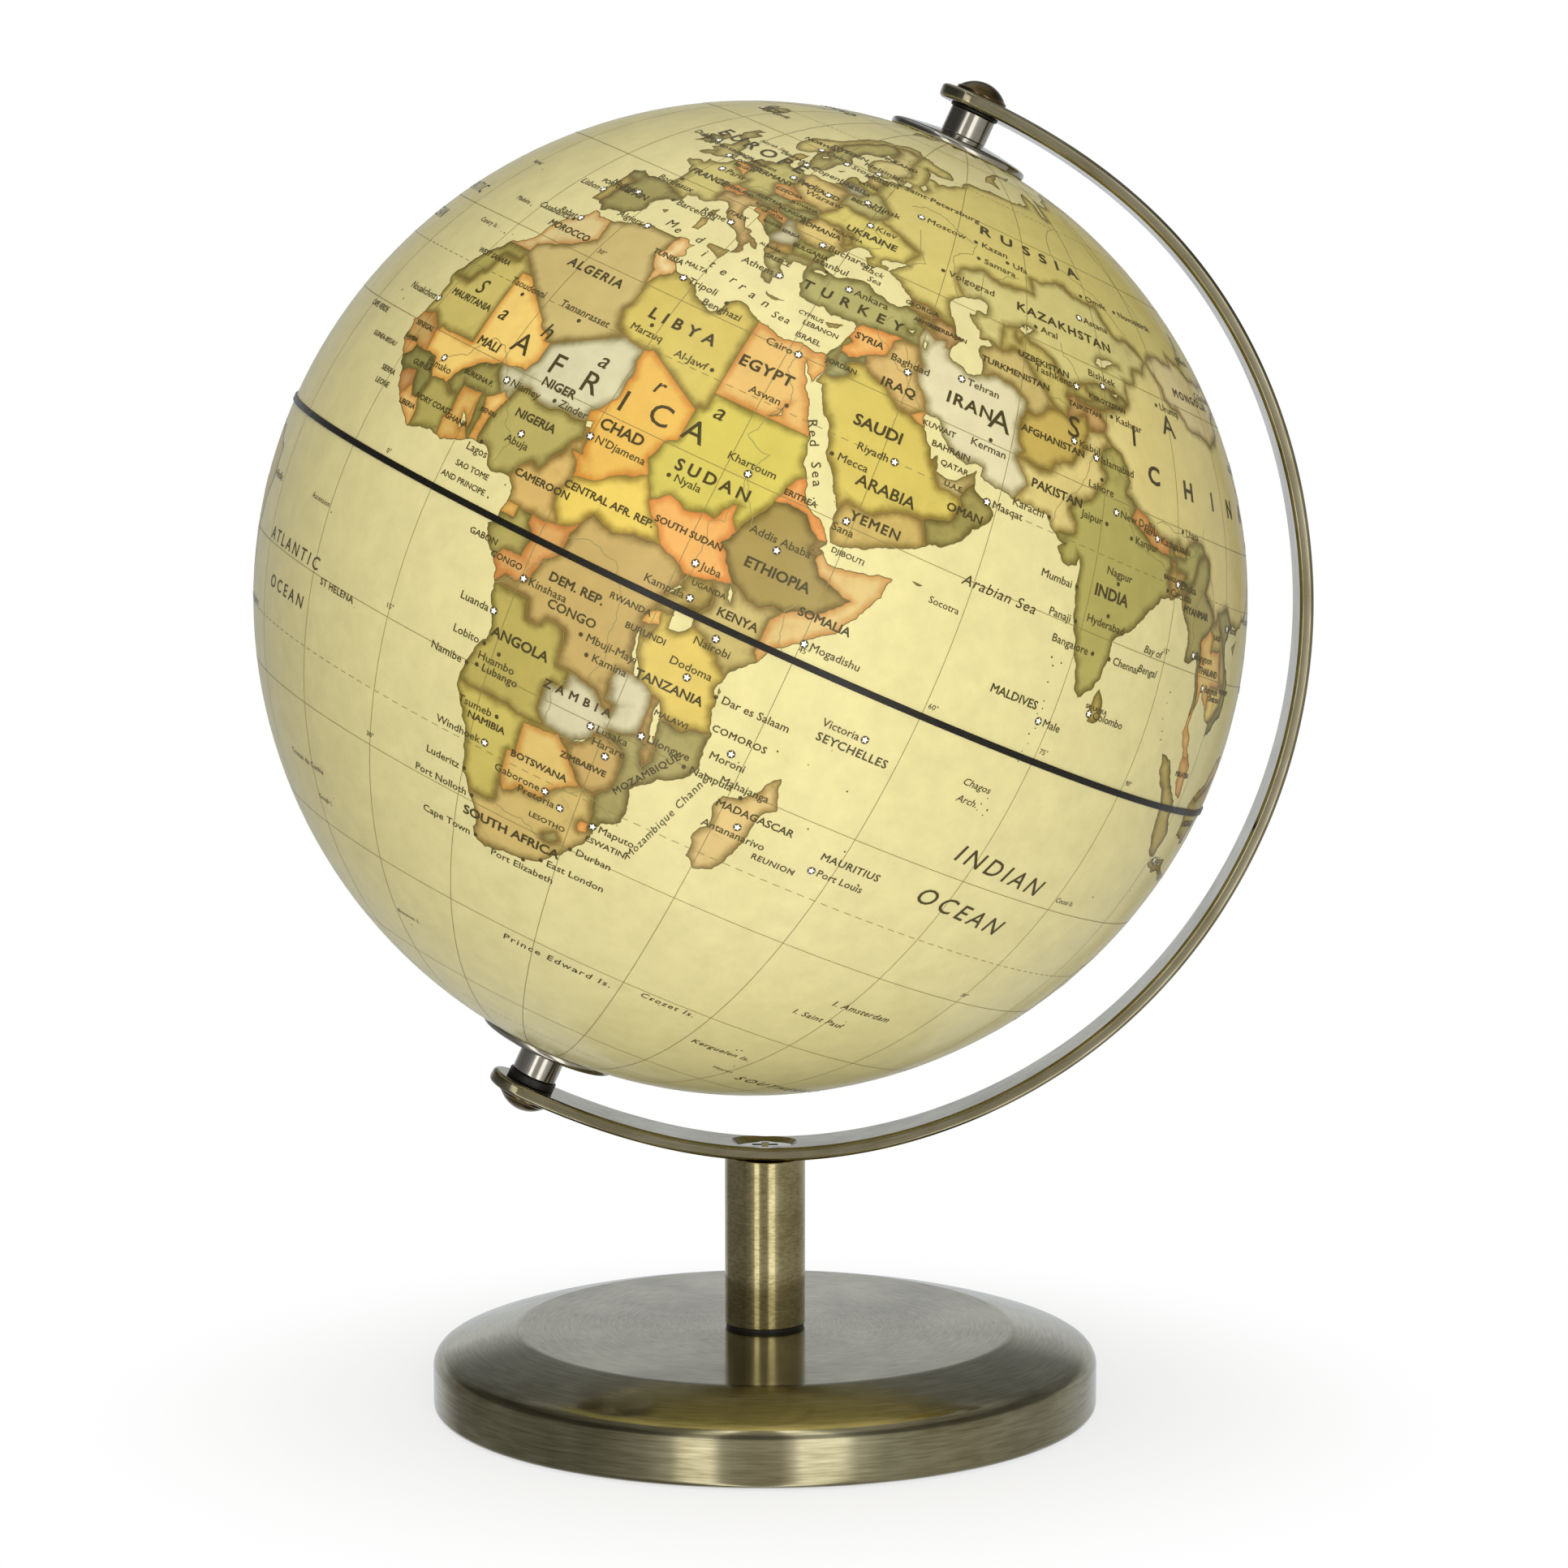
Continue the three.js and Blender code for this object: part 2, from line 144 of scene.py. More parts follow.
def brushedBrass(name, grain, look):
    # Antique brass: brass-nickel plate on steel, darkened and brushed back, under a clear lacquer.
    # The brush leaves streaks 0.1 to 0.4 mm wide along the direction of turning, so highlights
    # run across them; the darkening stays in patches and along the streaks.
    material, tree, shader = newMaterial(name)
    place = addNode(tree, "ShaderNodeTexCoord").outputs["Object"]
    if grain == "round":
        centred, rise, side, turnAxis = place, 2, 1, (0, 0, 1)
    else:
        centred = addNode(tree, "ShaderNodeMapping", {"Vector": place, "Location": ballCentre},
                          vector_type="TEXTURE").outputs[0]
        rise, side, turnAxis = 1, 2, (0, 1, 0)
    axes = addNode(tree, "ShaderNodeSeparateXYZ", {0: centred}).outputs
    inPlane = addNode(tree, "ShaderNodeVectorMath", {
        0: centred, 1: [1 - part for part in turnAxis]}, operation="MULTIPLY").outputs[0]
    radius = addNode(tree, "ShaderNodeVectorMath", {0: inPlane}, operation="LENGTH").outputs["Value"]
    angle = addNode(tree, "ShaderNodeMath", {0: axes[side], 1: axes[0]}, operation="ARCTAN2").outputs[0]
    turned = addNode(tree, "ShaderNodeMath", {
        0: angle, 1: look["arcLength"]}, operation="MULTIPLY").outputs[0]
    streakPlace = addNode(tree, "ShaderNodeCombineXYZ", {0: radius, 1: axes[rise], 2: turned}).outputs[0]
    streaks = addNode(tree, "ShaderNodeTexNoise", {
        "Vector": streakPlace, "Scale": 1 / (look["streak"] * mm), "Detail": 2.5, "Roughness": 0.6})
    patches = addNode(tree, "ShaderNodeTexNoise", {
        "Vector": place, "Scale": 1 / (look["patch"] * mm), "Detail": 3.0, "Roughness": 0.6})
    blend = addNode(tree, "ShaderNodeMath", {
        0: streaks.outputs[0], 1: patches.outputs[0]}, operation="ADD").outputs[0]
    tone = addNode(tree, "ShaderNodeMapRange", {
        "Value": blend, "From Min": 0.75, "From Max": 1.25}).outputs[0]
    color = addNode(tree, "ShaderNodeMix", {
        "Factor": tone, 6: hexColor(look["dark"]), 7: hexColor(look["light"])}, data_type="RGBA").outputs[2]
    rough = addNode(tree, "ShaderNodeMapRange", {
        "Value": blend, "From Min": 0.7, "From Max": 1.3,
        "To Min": look["rough"][1], "To Max": look["rough"][0]}).outputs[0]
    bump = addNode(tree, "ShaderNodeBump", {
        "Height": streaks.outputs[0], "Strength": look["bump"], "Distance": 0.01 * mm}).outputs[0]
    tree.links.new(color, shader.inputs["Base Color"])
    tree.links.new(rough, shader.inputs["Roughness"])
    tree.links.new(bump, shader.inputs["Normal"])
    shader.inputs["Metallic"].default_value = 1
    shader.inputs["Anisotropic"].default_value = look["anisotropy"]
    shader.inputs["Coat Weight"].default_value = look["coat"]
    shader.inputs["Coat Roughness"].default_value = 0.12
    # highlights spread across the brushing, so the tangent is the grain turned a quarter
    along = addNode(tree, "ShaderNodeVectorMath", {
        0: turnAxis, 1: centred}, operation="CROSS_PRODUCT").outputs[0]
    tree.links.new(along, shader.inputs["Tangent"])
    shader.inputs["Anisotropic Rotation"].default_value = 0.25
    return material


baseBrass = brushedBrass("brushedBaseBrass", "round", {
    "light": "bdb594", "dark": "8b835f", "streak": 0.5, "arcLength": 0.004, "patch": 22,
    "rough": (0.09, 0.2), "bump": 0.12, "anisotropy": 0.6, "coat": 0.5})
pillarBrass = brushedBrass("brushedPillarBrass", "round", {
    "light": "c6b98c", "dark": "968a5c", "streak": 0.4, "arcLength": 0.003, "patch": 9,
    "rough": (0.07, 0.15), "bump": 0.08, "anisotropy": 0.5, "coat": 0.3})
armBrass = brushedBrass("brushedArmBrass", "long", {
    "light": "b9b196", "dark": "968d6c", "streak": 0.5, "arcLength": 0.008, "patch": 14,
    "rough": (0.12, 0.22), "bump": 0.03, "anisotropy": 0.5, "coat": 0.4})


def polishedChrome():
    # Dark nickel-chrome plate over polished brass: a near mirror with a faint warm cast.
    # Fine polishing haze, about 1 mm across, keeps the reflections from being perfect.
    material, tree, shader = newMaterial("darkPolishedChrome")
    place = addNode(tree, "ShaderNodeTexCoord").outputs["Object"]
    haze = addNode(tree, "ShaderNodeTexNoise", {
        "Vector": place, "Scale": 1 / (1.2 * mm), "Detail": 4.0}).outputs[0]
    color = addNode(tree, "ShaderNodeMix", {
        "Factor": haze, 6: hexColor("bab5a9"), 7: hexColor("d3cfc4")}, data_type="RGBA").outputs[2]
    rough = addNode(tree, "ShaderNodeMapRange", {
        "Value": haze, "From Min": 0.3, "From Max": 0.7, "To Min": 0.03, "To Max": 0.07}).outputs[0]
    tree.links.new(color, shader.inputs["Base Color"])
    tree.links.new(rough, shader.inputs["Roughness"])
    shader.inputs["Metallic"].default_value = 1
    return material


def plainFinish(name, look):
    # One recipe for the small and hidden pieces: a colour that drifts a little, with a fine grain
    # of the given size in mm for as-moulded, plated, cast or foamed skin.
    material, tree, shader = newMaterial(name)
    place = addNode(tree, "ShaderNodeTexCoord").outputs["Object"]
    grain = addNode(tree, "ShaderNodeTexNoise", {
        "Vector": place, "Scale": 1 / (look["grain"] * mm), "Detail": 3.0}).outputs[0]
    color = addNode(tree, "ShaderNodeMix", {
        "Factor": grain, 6: hexColor(look["dark"]), 7: hexColor(look["light"])}, data_type="RGBA").outputs[2]
    rough = addNode(tree, "ShaderNodeMapRange", {
        "Value": grain, "From Min": 0.3, "From Max": 0.7,
        "To Min": look["rough"] - 0.06, "To Max": look["rough"] + 0.06}).outputs[0]
    bump = addNode(tree, "ShaderNodeBump", {
        "Height": grain, "Strength": look["bump"], "Distance": 0.02 * mm}).outputs[0]
    tree.links.new(color, shader.inputs["Base Color"])
    tree.links.new(rough, shader.inputs["Roughness"])
    tree.links.new(bump, shader.inputs["Normal"])
    shader.inputs["Metallic"].default_value = look["metal"]
    return material


chrome = polishedChrome()
blackNylon = plainFinish("mouldedBlackNylon", {
    "dark": "0b0b0a", "light": "171614", "grain": 0.6, "rough": 0.42, "bump": 0.2, "metal": 0})
vinylTape = plainFinish("blackVinylTape", {
    "dark": "0d0c08", "light": "1d1a10", "grain": 1.5, "rough": 0.32, "bump": 0.1, "metal": 0})
whiteNylon = plainFinish("naturalNylon", {
    "dark": "d6d2c6", "light": "efece3", "grain": 1, "rough": 0.45, "bump": 0.15, "metal": 0})
zincSteel = plainFinish("zincPlatedSteel", {
    "dark": "94979a", "light": "bfc1c2", "grain": 0.8, "rough": 0.3, "bump": 0.2, "metal": 1})
bronzed = plainFinish("bronzedBrass", {
    "dark": "4f4128", "light": "8a754a", "grain": 3, "rough": 0.17, "bump": 0.04, "metal": 1})
castIron = plainFinish("castIron", {
    "dark": "2c2c2d", "light": "4a4a4b", "grain": 0.5, "rough": 0.7, "bump": 0.6, "metal": 1})
foam = plainFinish("denseEvaFoam", {
    "dark": "141414", "light": "232322", "grain": 0.35, "rough": 0.85, "bump": 0.7, "metal": 0})
print("metals and plastics ready")


base = {
    "height": 16.5, "radius": 68.2, "flatRadius": 50.5, "edgeRadius": 65.6, "edgeDrop": 3.9,
    "wall": 1, "lift": 0.4, "steps": 240, "padRadius": 65, "padThickness": 1.5}


def shoulder(steps, inset=0):
    # the long fall from the flat top to the edge: it breaks off crisply, then rounds over gently
    span = base["edgeRadius"] - base["flatRadius"]
    return [(base["flatRadius"] + span * i / steps - inset * 0.3,
             base["height"] - inset - base["edgeDrop"] * (0.75 * i / steps + 0.25 * (i / steps) ** 2.5))
            for i in range(steps + 1)]


def makeBase():
    low = base["lift"]
    outer = [(boltHole, base["height"])] + shoulder(14)
    outer += [(base["radius"], base["height"] - base["edgeDrop"] - 1.2, 1.9), (base["radius"], low, 1.4)]
    inner = [(base["radius"] - 1.5, low), (base["radius"] - 1.5, low + 1.2),
             (base["radius"] - base["wall"], low + 1.6), (base["radius"] - base["wall"], 9.6)]
    inner += shoulder(6, base["wall"])[::-1] + [(boltHole, base["height"] - base["wall"])]
    bm = turn(outer + inner, base["steps"])
    addPiece("baseCover", bm, baseBrass, "stand", ["base_shell"])
    pad = turn([(0, 0), (base["padRadius"], 0, 0.3), (base["padRadius"], base["padThickness"], 0.3),
                (0, base["padThickness"])], 120)
    addPiece("footPad", pad, foam, "stand", ["base_pad"])


makeBase()
print("base made")

pillar = {
    "radius": 8.25, "bore": 6.75, "low": 17.15, "steps": 128, "gasketRadius": 8, "gasketLow": 16.52,
    "gasketHigh": 17.12, "seatGap": 0.05}
# reach: the arm's outer face from the ball's centre, in mm, every 30 degrees from the north axle on
arm = {
    "reach": (110.6, 112.6, 113.05, 113.95, 114.9, 114.4, 111.6), "thickness": 2.8, "middle": 112,
    "width": 14, "pastAxle": 1.2, "rounding": 0.85, "seatRadius": 6.6, "endSteps": 28, "cuts": 236}


def armReach(degrees):  # a smooth curve through the listed distances, square to the axle at both ends
    knots = arm["reach"]
    first = min(max(int(degrees // 30), 0), len(knots) - 2)
    t = degrees / 30 - first
    slopes = [0] + [(after - before) / 2 for before, after in zip(knots, knots[2:])] + [0]
    return (knots[first] * (2 * t ** 3 - 3 * t ** 2 + 1) + slopes[first] * (t ** 3 - 2 * t ** 2 + t)
            + knots[first + 1] * (3 * t ** 2 - 2 * t ** 3) + slopes[first + 1] * (t ** 3 - t ** 2))


def saddleHeight(x, clearance):  # the arm's underside above a point of the pillar, in mm
    across = x - ballCentre.x / mm
    turned = 180 - math.degrees(tilt + math.asin(across / arm["reach"][-2]))
    return ballCentre.z / mm - math.sqrt((armReach(turned) + clearance) ** 2 - across ** 2)


def makePillar():
    top = saddleHeight(0, pillar["seatGap"])
    bm = turn([(pillar["bore"], pillar["low"]), (pillar["radius"], pillar["low"], 0.25),
               (pillar["radius"], top, 0.2), (pillar["bore"], top)], pillar["steps"])
    for vert in bm.verts:
        if vert.co.z > (top - 1) * mm:
            vert.co.z += (saddleHeight(vert.co.x / mm, pillar["seatGap"]) - top) * mm
    addPiece("pillarTube", bm, pillarBrass, "stand", ["pillar_tube"])
    ring = turn([(boltHole, pillar["gasketLow"]), (pillar["gasketRadius"], pillar["gasketLow"]),
                 (pillar["gasketRadius"], pillar["gasketHigh"]), (boltHole, pillar["gasketHigh"])],
                roundSteps)
    addPiece("pillarGasket", ring, blackNylon, "stand", ["pillar_gasket"])


makePillar()
print("pillar made")


def makeArm():
    # a flat strip with round ends and rounded edges, cut into short lengths and bent round the ball
    half = math.pi / 2 * arm["middle"] + arm["pastAxle"]
    around = [math.pi * (step / arm["endSteps"] - 0.5) for step in range(arm["endSteps"] + 1)]
    outline = [(half + arm["width"] / 2 * math.cos(a), arm["width"] / 2 * math.sin(a)) for a in around]
    outline += [(-x, -y) for x, y in outline]
    bm = bmesh.new()
    face = bm.faces.new([bm.verts.new((x, y, 0)) for x, y in outline])
    extruded = bmesh.ops.extrude_face_region(bm, geom=[face])
    lifted = [item for item in extruded["geom"] if isinstance(item, bmesh.types.BMVert)]
    bmesh.ops.translate(bm, verts=lifted, vec=(0, 0, arm["thickness"]))
    bmesh.ops.recalc_face_normals(bm, faces=bm.faces)
    rims = [edge for edge in bm.edges if abs(edge.verts[0].co.z - edge.verts[1].co.z) < 0.1]
    bmesh.ops.bevel(bm, geom=rims, affect="EDGES", offset=arm["rounding"], segments=5, profile=0.5,
                    material=-1, clamp_overlap=False)
    for step in range(1, arm["cuts"]):
        where = (2 * step / arm["cuts"] - 1) * (half + arm["width"] / 2)
        bmesh.ops.bisect_plane(bm, geom=bm.verts[:] + bm.edges[:] + bm.faces[:], plane_co=(where, 0, 0),
                               plane_no=(1, 0, 0), dist=1e-4)
    for vert in bm.verts:
        turned = vert.co.x / arm["middle"]
        reach = armReach(90 - math.degrees(turned)) - arm["thickness"] + vert.co.z
        vert.co = Vector((reach * math.cos(turned), vert.co.y, reach * math.sin(turned))) * mm
    bmesh.ops.recalc_face_normals(bm, faces=bm.faces)
    bm.transform(northPlace)
    strip = addPiece("armStrip", bm, armBrass, "stand", ["arm"], weighted=False)
    seatTop = saddleHeight(0, 0) + arm["thickness"]
    seat = turn([(0, seatTop - 5), (boltHole, seatTop - 5),
                 (boltHole, seatTop - arm["seatRadius"] + boltHole),
                 (arm["seatRadius"] + 1, seatTop + 1), (0, seatTop + 1)], roundSteps)
    cutWith(strip, meshFrom(seat))
    strip.data.set_sharp_from_angle(angle=math.radians(35))
    strip.modifiers.new("weightedNormals", "WEIGHTED_NORMAL").keep_sharp = True


def makeArmScrew():
    # countersunk head just below the arm's inner face, with a tapered cross slot
    look = {"radius": 3, "headRadius": 5.7, "drop": 0.55, "length": 17, "slot": 1.5, "reach": 3.4,
            "depth": 2, "taper": 0.55}
    seatTop = saddleHeight(0, 0) + arm["thickness"]
    top = seatTop - look["drop"]
    cone = look["headRadius"] - look["radius"]
    bm = turn([(0, top - look["length"]), (look["radius"], top - look["length"], 0.4),
               (look["radius"], top - cone - 0.4), (look["headRadius"], top - 0.4, 0.15),
               (look["headRadius"] - 0.2, top, 0.15), (0, top)], roundSteps)
    screw = addPiece("armScrew", bm, chrome, "stand", ["arm_screw"], weighted=False)
    for turned in (0, math.pi / 2):
        cut = bmesh.new()
        bmesh.ops.create_cube(cut, size=1)
        for vert in cut.verts:
            narrow = look["taper"] if vert.co.z < 0 else 1
            vert.co.x *= 2 * look["reach"] * narrow
            vert.co.y *= look["slot"]
            vert.co.z *= 2 * look["depth"]
        place = Matrix.Translation((0, 0, top * mm)) @ Matrix.Rotation(turned, 4, "Z")
        cut.transform(place @ Matrix.Scale(mm, 4))
        cutWith(screw, meshFrom(cut))
    screw.data.set_sharp_from_angle(angle=math.radians(35))


makeArm()
makeArmScrew()
print("arm made")

hardware = {
    "capRadius": 14.4, "capRim": 99.0, "capLip": 1.3, "capCrown": 101.9, "spacerRadius": 4.65,
    "spacerLow": 101.95, "washerRadius": 5.0, "washer": {"north": 0.6, "south": 1.7}, "bore": 2.2,
    "domeRadius": 5.3, "flange": 0.7, "domeHeight": 3.1, "rodPastArm": 2.35,
    "capSteps": 160, "gap": 0.03}


def makePole(pole, place, reach):  # the arm's outer face lies this far out, and the pieces follow it
    h = hardware
    # the cap: a pressed dish with a rolled rim, seated on the ball
    dish = [(3.5, h["capCrown"]), (5.5, h["capCrown"], 0.3), (9.6, h["capCrown"] - 0.55, 1.2),
            (h["capRadius"] - 0.9, h["capRim"] + h["capLip"] + 0.35, 0.5),
            (h["capRadius"], h["capRim"] + h["capLip"] - 0.1, 0.4), (h["capRadius"], h["capRim"], 0.35),
            (h["capRadius"] - 1, h["capRim"] + 0.05, 0.2), (10, 99.65), (6, 99.95), (3.5, 100.05)]
    addPiece(pole + "PoleCap", turn(dish, h["capSteps"], place), chrome, "globe",
             [pole + "_pole_cap"])
    washerHigh = reach - arm["thickness"] - 0.05
    washerLow = washerHigh - h["washer"][pole]
    spacer = [(h["bore"], h["spacerLow"]), (h["spacerRadius"], h["spacerLow"], 0.3),
              (h["spacerRadius"], washerLow - h["gap"], 0.3), (h["bore"], washerLow - h["gap"])]
    addPiece(pole + "Spacer", turn(spacer, roundSteps, place), chrome, "stand",
             [pole + "_spacer"])
    washer = [(h["bore"], washerLow), (h["washerRadius"], washerLow, 0.2),
              (h["washerRadius"], washerHigh, 0.2), (h["bore"], washerHigh)]
    addPiece(pole + "Washer", turn(washer, roundSteps, place), blackNylon, "stand",
             [pole + "_washer"])
    low = reach + h["gap"]
    top = low + h["domeHeight"]
    rise = h["domeHeight"] - h["flange"] - 0.1
    foot = h["domeRadius"] - 0.35
    sphere = (foot ** 2 + rise ** 2) / (2 * rise)
    start = math.asin(foot / sphere)
    angles = [start * (1 - i / 12) for i in range(13)]
    crown = [(sphere * math.sin(a), top - sphere + sphere * math.cos(a)) for a in angles]
    bottom = reach + h["rodPastArm"]
    dome = [(0, bottom), (h["bore"], bottom), (h["bore"], low), (h["domeRadius"], low, 0.2),
            (h["domeRadius"], low + h["flange"], 0.25)] + crown[:-1] + [(0, top)]
    addPiece(pole + "DomeNut", turn(dome, roundSteps, place), bronzed, "stand",
             [pole + "_dome_nut"])


makePole("north", northPlace, arm["reach"][0])
makePole("south", southPlace, arm["reach"][-1])

# hidden pieces keep their plain shape and get their real material
hiddenPieces = [
    (castIron, ["base_weight"]),
    (zincSteel, ["base_bolt", "base_washer", "base_spring_washer", "pillar_lower_plug",
                 "pillar_upper_plug", "axle_rod"]),
    (whiteNylon, ["joint_ring", "north_bushing", "south_bushing", "north_lock_ring", "south_lock_ring"])]
for material, nodes in hiddenPieces:
    for node in nodes:
        frame["nodes"][node].material_slots[0].material = material
print("pole hardware made")

